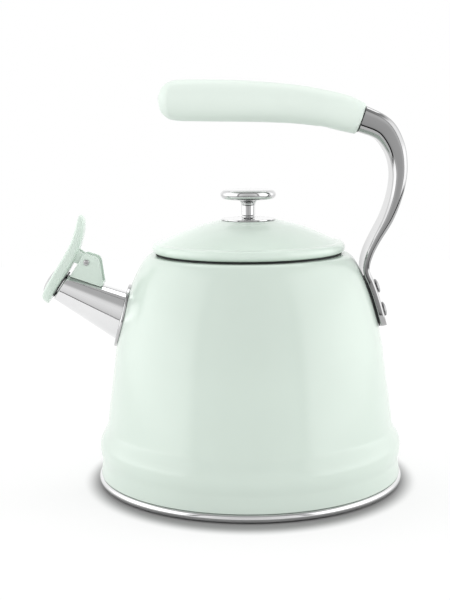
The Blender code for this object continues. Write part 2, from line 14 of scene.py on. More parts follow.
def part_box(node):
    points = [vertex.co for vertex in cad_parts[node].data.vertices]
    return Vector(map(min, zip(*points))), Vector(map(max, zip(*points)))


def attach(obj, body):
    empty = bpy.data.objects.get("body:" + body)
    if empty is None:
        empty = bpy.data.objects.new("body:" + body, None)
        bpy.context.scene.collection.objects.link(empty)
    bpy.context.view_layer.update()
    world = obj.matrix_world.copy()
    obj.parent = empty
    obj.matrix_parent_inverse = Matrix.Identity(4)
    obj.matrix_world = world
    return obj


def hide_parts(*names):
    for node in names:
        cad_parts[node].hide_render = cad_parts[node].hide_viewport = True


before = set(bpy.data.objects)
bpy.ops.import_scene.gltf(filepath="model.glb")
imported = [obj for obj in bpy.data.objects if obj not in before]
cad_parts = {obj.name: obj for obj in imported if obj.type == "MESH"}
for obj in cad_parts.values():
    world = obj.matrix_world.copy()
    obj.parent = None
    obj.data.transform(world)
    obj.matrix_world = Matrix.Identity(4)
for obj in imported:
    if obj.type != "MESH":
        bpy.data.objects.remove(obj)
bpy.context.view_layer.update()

bl_info = {
    "name": "Stovetop Whistling Kettle",
    "version": (1, 0, 0),
    "blender": (4, 5, 0),
    "location": "View3D > Sidebar > Kettle",
    "description": "Builds the kettle's finished pieces, their finishes and a plain studio",
    "category": "Add Mesh",
}

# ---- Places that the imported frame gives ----
FOOT_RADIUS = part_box("base_pan")[1].x
BASE_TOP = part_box("base_pan")[1].z
CAP_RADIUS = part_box("base_cap")[1].x
CAP_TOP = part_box("base_cap")[1].z
BODY_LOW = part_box("body_shell")[0].z
BODY_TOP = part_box("body_shell")[1].z
LID_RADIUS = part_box("lid_shell")[1].x
LID_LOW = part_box("lid_shell")[0].z
LID_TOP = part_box("lid_shell")[1].z
PLATE_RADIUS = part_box("knob_escutcheon")[1].x
PLATE_LOW, PLATE_HIGH = (corner.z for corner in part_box("knob_escutcheon"))
RING_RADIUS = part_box("knob_collar")[1].x
RING_LOW, RING_HIGH = (corner.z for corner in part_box("knob_collar"))
STEM_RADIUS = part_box("knob_post")[1].x
STEM_LOW, STEM_HIGH = (corner.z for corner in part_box("knob_post"))
KNOB_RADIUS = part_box("knob_head")[1].x
KNOB_LOW, KNOB_TOP = (corner.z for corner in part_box("knob_head"))
SEAL_LOW, SEAL_HIGH = (corner.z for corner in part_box("lid_gasket"))
SLEEVE_LOW, SLEEVE_HIGH = (corner.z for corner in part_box("lid_skirt"))
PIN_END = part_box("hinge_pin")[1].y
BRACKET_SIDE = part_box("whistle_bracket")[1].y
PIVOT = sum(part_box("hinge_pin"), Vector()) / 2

# ---- Places and sizes that several pieces share ----
NECK_RADIUS = 0.0545
NECK_BOTTOM = 0.1365
SPOUT_LEVEL = 0.1028
MOUTH_CENTRE = Vector((-0.1163, 0.0, 0.1214))
MOUTH_TILT = math.radians(33.5)
MOUTH_OUT = Vector((-math.cos(MOUTH_TILT), 0.0, math.sin(MOUTH_TILT)))
MOUTH_UP = Vector((math.sin(MOUTH_TILT), 0.0, math.cos(MOUTH_TILT)))
FOOT_OFFSET = 0.0014
FOOT_THICKNESS = 0.0036
FOOT_LOW, FOOT_HIGH = 0.0960, 0.1235
FOOT_EDGE = 0.0009
RIVET_LEVELS = {"rivet_lower": 0.1046, "rivet_upper": 0.1186}
RIVET_SHANK = 0.0022
TANG_RADIUS = 0.0055
SPOUT_HOLE = 0.0139
PIN_HOLE = 0.0015
INSIDE_BRACKET = BRACKET_SIDE - 0.0016

# The arm above its foot: centre x and z, thickness, width, radius of its edges, bend round the body
ARM_STATIONS = (
    (0.0724, 0.1317, 0.0038, 0.0305, 0.0012, 10.0),
    (0.0737, 0.1406, 0.0042, 0.0310, 0.0016, 6.0),
    (0.0776, 0.1500, 0.0048, 0.0310, 0.0020, 2.0),
    (0.0844, 0.1627, 0.0062, 0.0305, 0.0026, 0.0),
    (0.0889, 0.1750, 0.0072, 0.0295, 0.0030, 0.0),
    (0.0912, 0.1868, 0.0084, 0.0285, 0.0034, 0.0),
    (0.0911, 0.1960, 0.0098, 0.0275, 0.0038, 0.0),
    (0.0890, 0.2050, 0.0117, 0.0265, 0.0042, 0.0),
    (0.0843, 0.2137, 0.0138, 0.0255, 0.0047, 0.0),
    (0.0786, 0.2186, 0.0150, 0.0250, 0.0050, 0.0),
    (0.0689, 0.2227, 0.0162, 0.0245, 0.0053, 0.0),
)
# The grip from its open end to its rounded tip: centre x and z, thickness
GRIP_STATIONS = (
    (0.0684, 0.2229, 0.0194),
    (0.0583, 0.2264, 0.0218),
    (0.0484, 0.2289, 0.0221),
    (0.0312, 0.2317, 0.0231),
    (0.0124, 0.2333, 0.0241),
    (-0.0075, 0.2343, 0.0250),
    (-0.0290, 0.2348, 0.0252),
    (-0.0440, 0.2350, 0.0243),
    (-0.0500, 0.2352, 0.0196),
    (-0.0530, 0.2353, 0.0126),
    (-0.0543, 0.2353, 0.0040),
)
# The flap from its lower edge to the tip of its thumb tab: height, half width, inner face, outer face
FLAP_STATIONS = (
    (-0.0134, 0.0022, 0.0014, 0.0040),
    (-0.0122, 0.0056, 0.0014, 0.0062),
    (-0.0098, 0.0091, 0.0014, 0.0073),
    (-0.0050, 0.0125, 0.0014, 0.0081),
    (0.0000, 0.0134, 0.0014, 0.0084),
    (0.0050, 0.0126, 0.0014, 0.0086),
    (0.0098, 0.0106, 0.0014, 0.0088),
    (0.0150, 0.0090, 0.0016, 0.0090),
    (0.0220, 0.0080, 0.0023, 0.0094),
    (0.0280, 0.0076, 0.0036, 0.0101),
    (0.0340, 0.0074, 0.0054, 0.0115),
    (0.0390, 0.0069, 0.0076, 0.0131),
    (0.0425, 0.0055, 0.0098, 0.0142),
    (0.0442, 0.0032, 0.0117, 0.0142),
)


# ---- Sizes and finishes that a user would change ----
class KettleSizes(bpy.types.PropertyGroup):
    """Sizes of the kettle's pieces"""

    steps: IntProperty(
        name="Steps", description="Steps round the body, the base and the lid", default=192, min=32,
        max=256,
    )
    sheet: FloatProperty(
        name="Sheet", description="Thickness of the painted steel sheet", default=0.0012, unit="LENGTH",
    )
    clearance: FloatProperty(
        name="Clearance", description="Clearance between pieces that touch", default=0.0003, unit="LENGTH",
    )
    spout_root: FloatProperty(
        name="Spout root", description="Radius of the spout where it leaves the body", default=0.0158,
        unit="LENGTH",
    )
    spout_mouth: FloatProperty(
        name="Spout mouth", description="Radius of the spout at its mouth", default=0.0092, unit="LENGTH",
    )
    flange: FloatProperty(
        name="Flange", description="Radius of the collar round the spout's root", default=0.0199,
        unit="LENGTH",
    )
    foot_width: FloatProperty(
        name="Foot width", description="Width of the arm's foot", default=0.0300, unit="LENGTH",
    )
    rivet: FloatProperty(
        name="Rivet", description="Radius of a rivet's head", default=0.0045, unit="LENGTH",
    )
    grip_width: FloatProperty(
        name="Grip width", description="Width of the grip, across the kettle", default=0.0280,
        unit="LENGTH",
    )
    coil: FloatProperty(
        name="Coil", description="Radius of the flap spring's coil", default=0.0024, unit="LENGTH",
    )
    wire: FloatProperty(
        name="Wire", description="Radius of the flap spring's wire", default=0.00035, unit="LENGTH",
    )


class KettleFinishes(bpy.types.PropertyGroup):
    """Colours and gloss of the kettle's finishes"""

    paint: FloatVectorProperty(
        name="Paint", description="Colour of the stoved enamel paint", default=(0.630, 0.724, 0.655),
        subtype="COLOR", min=0.0, max=1.0,
    )
    paint_gloss: FloatProperty(
        name="Paint roughness", description="Roughness of the paint's surface", default=0.20,
        subtype="FACTOR", min=0.0, max=1.0,
    )
    grip: FloatVectorProperty(
        name="Grip", description="Colour of the moulded grip", default=(0.690, 0.766, 0.709),
        subtype="COLOR", min=0.0, max=1.0,
    )
    steel: FloatVectorProperty(
        name="Polished steel", description="Colour of the polished stainless steel",
        default=(0.90, 0.90, 0.905), subtype="COLOR", min=0.0, max=1.0,
    )
    steel_gloss: FloatProperty(
        name="Steel roughness", description="Roughness of the polished steel", default=0.07,
        subtype="FACTOR", min=0.0, max=1.0,
    )
    satin: FloatVectorProperty(
        name="Satin steel", description="Colour of the satin stainless steel", default=(0.62, 0.62, 0.625),
        subtype="COLOR", min=0.0, max=1.0,
    )
    aluminium: FloatVectorProperty(
        name="Aluminium", description="Colour of the bare aluminium disc", default=(0.72, 0.73, 0.74),
        subtype="COLOR", min=0.0, max=1.0,
    )
    silicone: FloatVectorProperty(
        name="Silicone", description="Colour of the silicone seals", default=(0.020, 0.020, 0.021),
        subtype="COLOR", min=0.0, max=1.0,
    )


# ---- Curves in (radius, height) ----
def arc(centre, radii, start, end, steps):
    """Points of an elliptical arc, with its angles in degrees."""
    points = []
    for i in range(steps + 1):
        angle = math.radians(start + (end - start) * i / steps)
        points.append((centre[0] + radii[0] * math.cos(angle), centre[1] + radii[1] * math.sin(angle)))
    return points


def bezier(a, b, c, d, steps):
    """Points of a cubic Bezier curve."""
    points = []
    for i in range(steps + 1):
        t = i / steps
        weights = ((1 - t) ** 3, 3 * t * (1 - t) ** 2, 3 * t * t * (1 - t), t ** 3)
        points.append(tuple(sum(w * p[k] for w, p in zip(weights, (a, b, c, d))) for k in (0, 1)))
    return points


def carried_on(points, *curves):
    """The line carried on from its last point by Bezier curves, each as three points and its steps."""
    points = list(points)
    for curve in curves:
        points += bezier(points[-1], *curve)[1:]
    return points


def through(stations, steps):
    """A smooth curve through the stations, each a tuple of any length."""
    points = []
    last = len(stations) - 1
    for i in range(last):
        four = [stations[max(0, min(last, k))] for k in (i - 1, i, i + 1, i + 2)]
        for j in range(steps):
            t = j / steps
            weights = (
                -0.5 * t + t * t - 0.5 * t ** 3,
                1 - 2.5 * t * t + 1.5 * t ** 3,
                0.5 * t + 2 * t * t - 1.5 * t ** 3,
                -0.5 * t * t + 0.5 * t ** 3,
            )
            points.append(tuple(sum(w * s for w, s in zip(weights, values)) for values in zip(*four)))
    return points + [tuple(stations[-1])]


def offset_left(points, distance):
    """The line moved to the left of its direction of travel."""
    moved = []
    for i, (r, z) in enumerate(points):
        before = points[max(0, i - 1)]
        after = points[min(len(points) - 1, i + 1)]
        along = Vector((after[0] - before[0], after[1] - before[1])).normalized()
        moved.append((r - along.y * distance, z + along.x * distance))
    return moved


# ---- Shapes ----
def spun(profile, steps, closed=True):
    """A shape turned about Z. An open profile starts and ends on the axis."""
    shape = bmesh.new()
    points = [shape.verts.new((r, 0.0, z)) for r, z in profile]
    pairs = list(zip(points, points[1:]))
    if closed:
        pairs.append((points[-1], points[0]))
    edges = [shape.edges.new(pair) for pair in pairs]
    bmesh.ops.spin(
        shape,
        geom=points + edges,
        cent=(0, 0, 0),
        axis=(0, 0, 1),
        angle=2 * math.pi,
        steps=steps,
        use_merge=True,
    )
    return shape


def lofted(sections, joined=False):
    """A skin through the sections that either joins its last section to its first or fills both ends."""
    shape = bmesh.new()
    rings = [bmesh.ops.create_circle(shape, segments=len(sections[0]), radius=1.0)["verts"]]
    edges = shape.edges[:]
    for _ in sections[1:]:
        grown = bmesh.ops.extrude_edge_only(shape, edges=edges)["geom"]
        edges = [part for part in grown if isinstance(part, bmesh.types.BMEdge)]
        fresh = {part for part in grown if isinstance(part, bmesh.types.BMVert)}
        ring = []
        for point in rings[-1]:
            ring += [e.other_vert(point) for e in point.link_edges if e.other_vert(point) in fresh]
        rings.append(ring)
    for ring, section in zip(rings, sections):
        for point, place in zip(ring, section):
            point.co = place
    ends = [edge for edge in shape.edges if edge.is_boundary]
    if joined:
        bmesh.ops.bridge_loops(shape, edges=ends)
    else:
        bmesh.ops.holes_fill(shape, edges=ends, sides=0)
    return shape


def plate(outline, y_low, y_high):
    """A plate with its outline in XZ."""
    shape = bmesh.new()
    face = shape.faces.new([shape.verts.new((x, y_low, z)) for x, z in outline])
    grown = bmesh.ops.extrude_face_region(shape, geom=[face])["geom"]
    moved = [part for part in grown if isinstance(part, bmesh.types.BMVert)]
    bmesh.ops.translate(shape, verts=moved, vec=(0, y_high - y_low, 0))
    return shape


def along_z(centre, direction):
    """The place that sets a turned shape's axis along a direction."""
    return Matrix.Translation(centre) @ direction.to_track_quat("Z", "Y").to_matrix().to_4x4()


def rod(radius, start, end, steps=48):
    """A plain cylinder, used to cut holes."""
    shape = bmesh.new()
    place = along_z((start + end) / 2, end - start)
    bmesh.ops.create_cone(
        shape,
        cap_ends=True,
        segments=steps,
        radius1=radius,
        radius2=radius,
        depth=(end - start).length,
        matrix=place,
    )
    return shape


def block(size, place):
    """A plain box."""
    shape = bmesh.new()
    bmesh.ops.create_cube(shape, size=1.0, matrix=place @ Matrix.Diagonal((*size, 1.0)))
    return shape


def rounded_edges(shape, width, segments):
    """Rounds every edge of the shape whose faces meet at more than 30 degrees."""
    sharp = math.radians(30)
    edges = [edge for edge in shape.edges if edge.is_manifold and edge.calc_face_angle() > sharp]
    bmesh.ops.bevel(
        shape,
        geom=edges,
        offset=width,
        offset_type="OFFSET",
        affect="EDGES",
        segments=segments,
        profile=0.5,
        material=-1,
        clamp_overlap=True,
    )
    return shape


def as_object(name, shape, place=None):
    """The closed shape as an object at the origin, with its place in its mesh and its faces pointing out."""
    bmesh.ops.remove_doubles(shape, verts=shape.verts, dist=1e-7)
    if place is not None:
        bmesh.ops.transform(shape, matrix=place, verts=shape.verts)
    bmesh.ops.recalc_face_normals(shape, faces=shape.faces)
    mesh = bpy.data.meshes.new(name)
    shape.to_mesh(mesh)
    shape.free()
    piece = bpy.data.objects.new(name, mesh)
    bpy.context.scene.collection.objects.link(piece)
    return piece


def settle(piece):
    """Keeps the result of the piece's modifiers as its mesh."""
    graph = bpy.context.evaluated_depsgraph_get()
    graph.update()
    mesh = bpy.data.meshes.new_from_object(piece.evaluated_get(graph))
    if not mesh.polygons:
        raise RuntimeError(f"{piece.name} has lost its faces")
    before = piece.data
    piece.modifiers.clear()
    piece.data = mesh
    bpy.data.meshes.remove(before)
    mesh.name = piece.name


def cut(piece, shapes, operation="DIFFERENCE"):
    """Cuts the shapes out of the piece, or joins them to it."""
    tools = [as_object("tool", shape) for shape in shapes]
    for tool in tools:
        modifier = piece.modifiers.new("cut", "BOOLEAN")
        modifier.operation = operation
        modifier.solver = "EXACT"
        modifier.object = tool
    settle(piece)
    for tool in tools:
        mesh = tool.data
        bpy.data.objects.remove(tool)
        bpy.data.meshes.remove(mesh)


def finish(piece, body, slot, material, *nodes, flat=False):
    """Gives the piece its finish and its body, and hides the frame's nodes that it stands for."""
    if flat:
        modifier = piece.modifiers.new("even normals", "WEIGHTED_NORMAL")
        modifier.keep_sharp = True
    piece.data.shade_smooth()
    piece.data.set_sharp_from_angle(angle=math.radians(35))
    if flat:
        settle(piece)
    piece.data.materials.clear()
    piece.data.materials.append(material)
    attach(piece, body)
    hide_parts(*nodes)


def refinish(node, material):
    """Gives a node of the frame that stays in view a better finish."""
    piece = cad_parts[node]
    for slot in piece.material_slots:
        slot.material = material


# ---- Finishes ----
def add_node(tree, kind, inputs=None, **settings):
    """A node with its settings, and its inputs set or linked."""
    made = tree.nodes.new(kind)
    for name, value in settings.items():
        setattr(made, name, value)
    for name, value in (inputs or {}).items():
        if isinstance(value, bpy.types.NodeSocket):
            tree.links.new(value, made.inputs[name])
        else:
            made.inputs[name].default_value = value
    return made


def new_finish(name, colour, metallic, **values):
    """A new material and the tree, shader and surface point that its pattern is built on."""
    material = bpy.data.materials.new(name)
    material.use_nodes = True
    tree = material.node_tree
    shader = tree.nodes["Principled BSDF"]
    shader.inputs["Base Color"].default_value = (*colour, 1.0)
    shader.inputs["Metallic"].default_value = metallic
    for socket, value in values.items():
        shader.inputs[socket.replace("_", " ")].default_value = value
    point = add_node(tree, "ShaderNodeTexCoord").outputs["Object"]
    return material, tree, shader, point


GRAIN_MIDDLE = (0.3, 0.7)


def grain(tree, point, scale, detail=2.0):
    """Soft noise between 0 and 1."""
    noise = {"Vector": point, "Scale": scale, "Detail": detail}
    return add_node(tree, "ShaderNodeTexNoise", noise).outputs["Fac"]


def ranged(tree, value, start, end, low, high, **settings):
    """The value's range from start to end, mapped to low and high."""
    ranges = {"Value": value, "From Min": start, "From Max": end, "To Min": low, "To Max": high}
    return add_node(tree, "ShaderNodeMapRange", ranges, **settings).outputs["Result"]


def spread(tree, value, low, high):
    """The grain's middle range spread from low to high."""
    return ranged(tree, value, *GRAIN_MIDDLE, low, high)


def shade(colour, share):
    """The colour made lighter or darker."""
    return tuple(min(1.0, channel * share) for channel in colour)


def tones(tree, value, colour, low, high):
    """The colour between two shares of itself, by the grain."""
    ramp = add_node(tree, "ShaderNodeValToRGB", {"Fac": value})
    for element, position, share in zip(ramp.color_ramp.elements, GRAIN_MIDDLE, (low, high)):
        element.position = position
        element.color = (*shade(colour, share), 1.0)
    return ramp.outputs["Color"]


def relief(tree, height, strength, distance):
    """The normal of a fine relief."""
    bump = {"Height": height, "Strength": strength, "Distance": distance}
    return add_node(tree, "ShaderNodeBump", bump).outputs["Normal"]


def vector_length(tree, vector):
    return add_node(tree, "ShaderNodeVectorMath", {0: vector}, operation="LENGTH").outputs["Value"]


def laid(tree, point, rings=True, centre=(0, 0, 0), turn=(0, 0, 0), scale=(1, 1, 1)):
    """The surface point that marks follow: (radius, height, 0) about an axis, or stretched one way."""
    place = {"Vector": point, "Location": centre, "Rotation": turn, "Scale": scale}
    local = add_node(tree, "ShaderNodeMapping", place, vector_type="TEXTURE").outputs["Vector"]
    if not rings:
        return local
    parts = add_node(tree, "ShaderNodeSeparateXYZ", {"Vector": local}).outputs
    level = add_node(tree, "ShaderNodeCombineXYZ", {"X": parts["X"], "Y": parts["Y"]}).outputs["Vector"]
    ring = {"X": vector_length(tree, level), "Y": parts["Z"]}
    return add_node(tree, "ShaderNodeCombineXYZ", ring).outputs["Vector"]


def plug(tree, shader, **sources):
    """Links each source to the shader's socket of its name."""
    for socket, source in sources.items():
        tree.links.new(source, shader.inputs[socket.replace("_", " ")])


def enamel(piece, finishes, share=1.0):
    """Stoved enamel, at a share of the paint's colour: even gloss, faint orange peel, cloudy tone. A share
    above 1 is painted light.
    """
    # A share above 1 makes a lighter copy of the one paint, painted light for pieces that get too little
    # light
    colour, roughness = shade(finishes.paint, share), finishes.paint_gloss
    coat = {"Coat_Weight": 0.15, "Coat_Roughness": 0.14}
    material, tree, shader, point = new_finish(f"{piece}_paint", colour, 0.0, **coat)
    tone = tones(tree, grain(tree, point, 22.0, 3.0), colour, 0.985, 1.012)
    gloss = spread(tree, grain(tree, point, 75.0, 3.0), roughness - 0.03, roughness + 0.04)
    peel = relief(tree, grain(tree, point, 620.0, 1.0), 0.02, 0.0004)
    plug(tree, shader, Base_Color=tone, Roughness=gloss, Normal=peel, Coat_Normal=peel)
    return material


def moulded(name, colour):
    """Moulded heat-proof resin: a soft sheen with a fine even texture."""
    material, tree, shader, point = new_finish(name, colour, 0.0, Specular_IOR_Level=0.25)
    tone = tones(tree, grain(tree, point, 30.0, 3.0), colour, 0.985, 1.012)
    gloss = spread(tree, grain(tree, point, 160.0, 3.0), 0.32, 0.42)
    texture = relief(tree, grain(tree, point, 2200.0), 0.06, 0.0002)
    plug(tree, shader, Base_Color=tone, Roughness=gloss, Normal=texture)
    return material


def polished(piece, finishes, share, gloss=1.0, roughness=None, **lay):
    """Polished steel at a share of its colour, a painted shade per piece: a mirror, darkened at its rim by
    painted shade, with hairline wheel marks.
    """
    # The share makes this piece's copy of the steel darker or lighter, a painted shade that sets how bright
    # its reflections look
    colour, roughness = shade(finishes.steel, share), roughness or finishes.steel_gloss * gloss
    material, tree, shader, point = new_finish(f"{piece}_steel", colour, 1.0)
    tone = tones(tree, grain(tree, point, 40.0, 3.0), colour, 0.96, 1.02)
    # Painted shade: the colour darkens where the surface turns away from view, drawing a dark outline round
    # the rim
    grazing = add_node(tree, "ShaderNodeLayerWeight", {"Blend": 0.5}).outputs["Facing"]
    rim = {0: tone, "Scale": ranged(tree, grazing, 0.90, 0.99, 1.0, 0.25)}
    rim_shaded_tone = add_node(tree, "ShaderNodeVectorMath", rim, operation="SCALE").outputs[0]
    gloss = spread(tree, grain(tree, point, 120.0, 4.0), roughness * 0.7, roughness * 1.4)
    marks = relief(tree, grain(tree, laid(tree, point, **lay), 5200.0), 0.012, 0.0001)
    plug(tree, shader, Base_Color=rim_shaded_tone, Roughness=gloss, Normal=marks)
    return material


def brushed(name, colour, roughness, **lay):
    """Satin metal: fine marks round the axis it was turned on, or along the way it was brushed."""
    material, tree, shader, point = new_finish(name, colour, 1.0, Anisotropic=0.35)
    marks = grain(tree, laid(tree, point, **lay), 2600.0, 4.0)
    gloss = spread(tree, marks, roughness - 0.07, roughness + 0.08)
    fine = relief(tree, marks, 0.10, 0.0002)
    plug(tree, shader, Base_Color=tones(tree, marks, colour, 0.88, 1.06), Roughness=gloss, Normal=fine)
    return material


def rubbery(name, colour):
    """Silicone rubber: matt, with a slight bloom."""
    material, tree, shader, point = new_finish(name, colour, 0.0, Specular_IOR_Level=0.35)
    bloom = grain(tree, point, 260.0, 4.0)
    texture = relief(tree, grain(tree, point, 1800.0), 0.12, 0.0002)
    tone = tones(tree, bloom, colour, 0.8, 1.8)
    plug(tree, shader, Base_Color=tone, Roughness=spread(tree, bloom, 0.48, 0.66), Normal=texture)
    return material


# ---- The body's wall, which the spout and the arm's foot follow ----
def body_outline():
    """The face from the foot, over the bead, up the side, over the shoulder and down into the neck."""
    foot, band, bead = (0.0937, BODY_LOW + 0.0004), (0.0928, 0.0144), (0.09395, 0.0236)
    side_low, side_high, ledge = (0.0891, 0.0363), (0.0833, 0.0800), (0.0605, BODY_TOP)
    outline = [(foot[0] - 0.0004, BODY_LOW)]
    outline += bezier(foot, (0.0933, 0.0090), (0.0928, 0.0120), band, 8)
    outline += bezier(band, (0.0928, 0.0168), (0.09395, 0.0190), bead, 12)[1:]
    outline += bezier(bead, (0.09395, 0.0284), (0.0894, 0.0326), side_low, 14)[1:]
    outline += through((side_low, side_high), 10)[1:]
    outline += bezier(side_high, (0.0790, 0.1121), (0.0667, BODY_TOP), ledge, 36)[1:]
    outline += arc((NECK_RADIUS + 0.0012, BODY_TOP - 0.0012), (0.0012, 0.0012), 90, 180, 8)
    return outline + [(NECK_RADIUS, NECK_BOTTOM + 0.0004), (NECK_RADIUS - 0.0002, NECK_BOTTOM)]


OUTER_WALL = [point for point in body_outline() if point[0] > NECK_RADIUS + 0.005]


def wall_point(level):
    """The outer wall's point at this height, as (radius, height)."""
    for low, high in zip(OUTER_WALL, OUTER_WALL[1:]):
        if low[1] <= level <= high[1]:
            share = (level - low[1]) / (high[1] - low[1])
            return Vector((low[0] + share * (high[0] - low[0]), level))
    raise RuntimeError(f"the body has no wall at {level}")


def steady_wall(level):
    """The wall at this height, with its normal averaged over a short stretch."""
    low, high = wall_point(level - 0.005), wall_point(level + 0.005)
    along = (high - low).normalized()
    return wall_point(level), Vector((along.y, -along.x))


def on_spout_side(up, across, out):
    """A point given by its place on the wall round the spout's root, and its distance out from the wall."""
    lean = steady_wall(SPOUT_LEVEL)[1]
    point, normal = steady_wall(SPOUT_LEVEL + up * lean.x)
    point = point + normal * out
    turn = across / point.x
    return Vector((-point.x * math.cos(turn), point.x * math.sin(turn), point.y))


def on_arm_side(level, out):
    """A point of the wall under the arm's foot, in the XZ plane, and the normal there."""
    point, normal = steady_wall(level)
    point = point + normal * out
    return Vector((point.x, 0.0, point.y)), Vector((normal.x, 0.0, normal.y))


SPOUT_STEPS = 96
OVAL_STEPS = 72


def turns(steps):
    """Equal turns round a circle, in radians."""
    return [2 * math.pi * i / steps for i in range(steps)]


def mouth_section(radius, out=0.0):
    """A circle round the mouth's axis, at a distance out from the mouth."""
    centre = MOUTH_CENTRE + MOUTH_OUT * out
    return [
        centre + MOUTH_UP * radius * math.cos(turn) + Vector((0, radius * math.sin(turn), 0))
        for turn in turns(SPOUT_STEPS)
    ]


def root_section(radius, out):
    """A ring on the body's wall round the spout's root, at a distance out from the wall."""
    around = [(radius * math.cos(turn), radius * math.sin(turn)) for turn in turns(SPOUT_STEPS)]
    return [on_spout_side(up, across, out) for up, across in around]


def between(low, high, count):
    """Sections on straight lines from one section to another, both ends included."""
    return [[a.lerp(b, i / (count - 1)) for a, b in zip(low, high)] for i in range(count)]


def spout_cone(sizes, growth):
    """The solid cone inside the spout's outer face, grown."""
    root = root_section(sizes.spout_root + growth, sizes.clearance)
    return lofted(between(root, mouth_section(sizes.spout_mouth + growth), 12))


# ---- Sections of the arm and the grip ----
def oval(width, thickness, squareness):
    """Points (across, out) of a rounded section that fills its width and thickness."""
    points = []
    for turn in turns(OVAL_STEPS):
        c, s = math.cos(turn), math.sin(turn)
        across = width / 2 * math.copysign(abs(c) ** (2 / squareness), c)
        points.append((across, thickness / 2 * math.copysign(abs(s) ** (2 / squareness), s)))
    return points


def bar(width, thickness, edge):
    """Points (across, out) of a flat bar, with edges of the given radius and points along its broad faces."""
    edge = min(edge, 0.48 * thickness, 0.48 * width)
    flat, tall = width / 2 - edge, thickness / 2 - edge
    points = []
    for start, side, face in ((0, 1, 1), (90, -1, 1), (180, -1, -1), (270, 1, -1)):
        points += arc((side * flat, face * tall), (edge, edge), start, start + 90, 9)
        if start in (0, 180):
            points += [(side * flat * (1 - 2 * i / 10), points[-1][1]) for i in range(1, 10)]
    return points


def placed(section, centre, normal, crown=0.0):
    """The section set across the arm, bent round the body by its crown (1 / radius)."""
    ring = []
    for across, out in section:
        sag = 1 / crown - math.sqrt(1 / crown ** 2 - across ** 2) if crown > 0.01 else 0.0
        ring.append(centre + normal * (out - sag) + Vector((0, across, 0)))
    return ring


def normals_of(stations):
    """The normal in XZ at each station, to the right of the direction of travel."""
    found = []
    for i in range(len(stations)):
        a = stations[max(0, i - 1)]
        b = stations[min(len(stations) - 1, i + 1)]
        along = Vector((b[0] - a[0], 0.0, b[1] - a[1])).normalized()
        found.append(Vector((along.z, 0.0, -along.x)))
    return found


def foot_sections(low, high, width, near, thickness):
    """Sections of a plate along the wall, with a rounded lower end. near is its inner face's offset."""
    corner = 0.008
    rings = []
    for i in range(15):
        turn = math.radians(90 * i / 14)
        level = low + corner * (1 - math.cos(turn))
        reach = width - 2 * corner * (1 - math.sin(turn))
        edge = min(1.0, 0.6 + 0.2 * i)
        rings.append((level, reach, edge))
    rings += [(low + corner + (high - low - corner) * i / 8, width, 1.0) for i in range(1, 9)]
    sections = []
    for level, reach, edge in rings:
        centre, normal = on_arm_side(level, near + thickness / 2)
        section = bar(reach, thickness * edge, FOOT_EDGE)
        sections.append(placed(section, centre, normal, normal.x / centre.x))
    return sections


def rivet_holes(clearance):
    """The holes for the rivets, through all that they hold."""
    lines = [on_arm_side(level, -0.010) for level in RIVET_LEVELS.values()]
    return [rod(RIVET_SHANK + clearance, start, start + normal * 0.020, 32) for start, normal in lines]


def pin_hole():
    """The hole for the hinge pin, through the bracket and the flap's ears."""
    reach = Vector((0, 0.02, 0))
    return rod(PIN_HOLE, PIVOT - reach, PIVOT + reach)


def screw_line(distance):
    """A point on the grip screw's axis, by its distance upwards from the tang's centre."""
    x, z, _ = GRIP_STATIONS[2]
    side = normals_of(GRIP_STATIONS)[2]
    return Vector((x, 0, z)) + side * distance


def screw_hole(radius, steps):
    """The hole for the grip's screw."""
    return rod(radius, screw_line(-0.0140), screw_line(0.0030), steps)


def tang_line(extra):
    """The tang's centre line inside the grip."""
    end = (GRIP_STATIONS[6][0] - 0.008 - extra, GRIP_STATIONS[6][1])
    return [ARM_STATIONS[-1][:2]] + [station[:2] for station in GRIP_STATIONS[1:7]] + [end]


def lay_of(place):
    """A finish's centre and turn for a turned piece at this place."""
    return {"centre": tuple(place.translation), "turn": tuple(place.to_euler())}


# ---- The room round the kettle ----
# The room's light by the height of its direction, from -1 straight down to 1 straight up
ROOM_BY_HEIGHT = (
    (-1.0, 0.03),
    (-0.215, 0.03),
    (-0.175, 0.52),
    (0.0, 0.68),
    (0.20, 0.78),
    (0.42, 0.88),
    (0.62, 0.82),
    (0.76, 0.50),
    (0.86, 0.48),
    (1.0, 0.48),
)
# The share of the room's light that the dark frames at the front of the banks leave
FRAME_BY_FACING = ((-1.0, 1.0), (-0.80, 1.0), (-0.765, 0.15), (-0.72, 0.15), (-0.68, 1.0), (1.0, 1.0))
# The two banks of lamps: by height, and by facing, from -1 at the front to 1 at the back
BANK_BY_HEIGHT = ((-0.24, 0.0), (-0.14, 1.0), (0.20, 1.0), (0.34, 0.6), (0.72, 0.6), (0.82, 0.0))
BANK_BY_FACING = (
    (-1.0, 0.0),
    (-0.92, 0.06),
    (-0.80, 0.22),
    (-0.70, 0.22),
    (-0.61, 0.95),
    (0.0, 1.0),
    (0.35, 0.80),
    (0.70, 0.24),
    (1.0, 0.26),
)
BANK_STRENGTH = 1.7
# The camera, turned to its heading, tipped down and rolled, in radians
LENS = 70.04
CAMERA_PLACE = (0.0, -0.7185, 0.22134)
HEADING, DOWN, ROLL = 0.0207, 0.1508, -0.0098
# The floor is a disc set back behind the kettle. Its glow starts past the foot and leaves a painted contact
# shadow
FLOOR_RADIUS = 0.82
FLOOR_SHIFT = (0, 0.38, -0.0002)
FLOOR_TONE = (0.37, 0.37, 0.37)
FLOOR_GLOW = 0.62
SHADOW_START, SHADOW_END = 0.0925, 0.1055
SHADOW_SHAPE = (1.0, 0.93, 1.0)
ALL_ROUND = 180.0
WHITE = (1.0, 1.0, 1.0, 1.0)


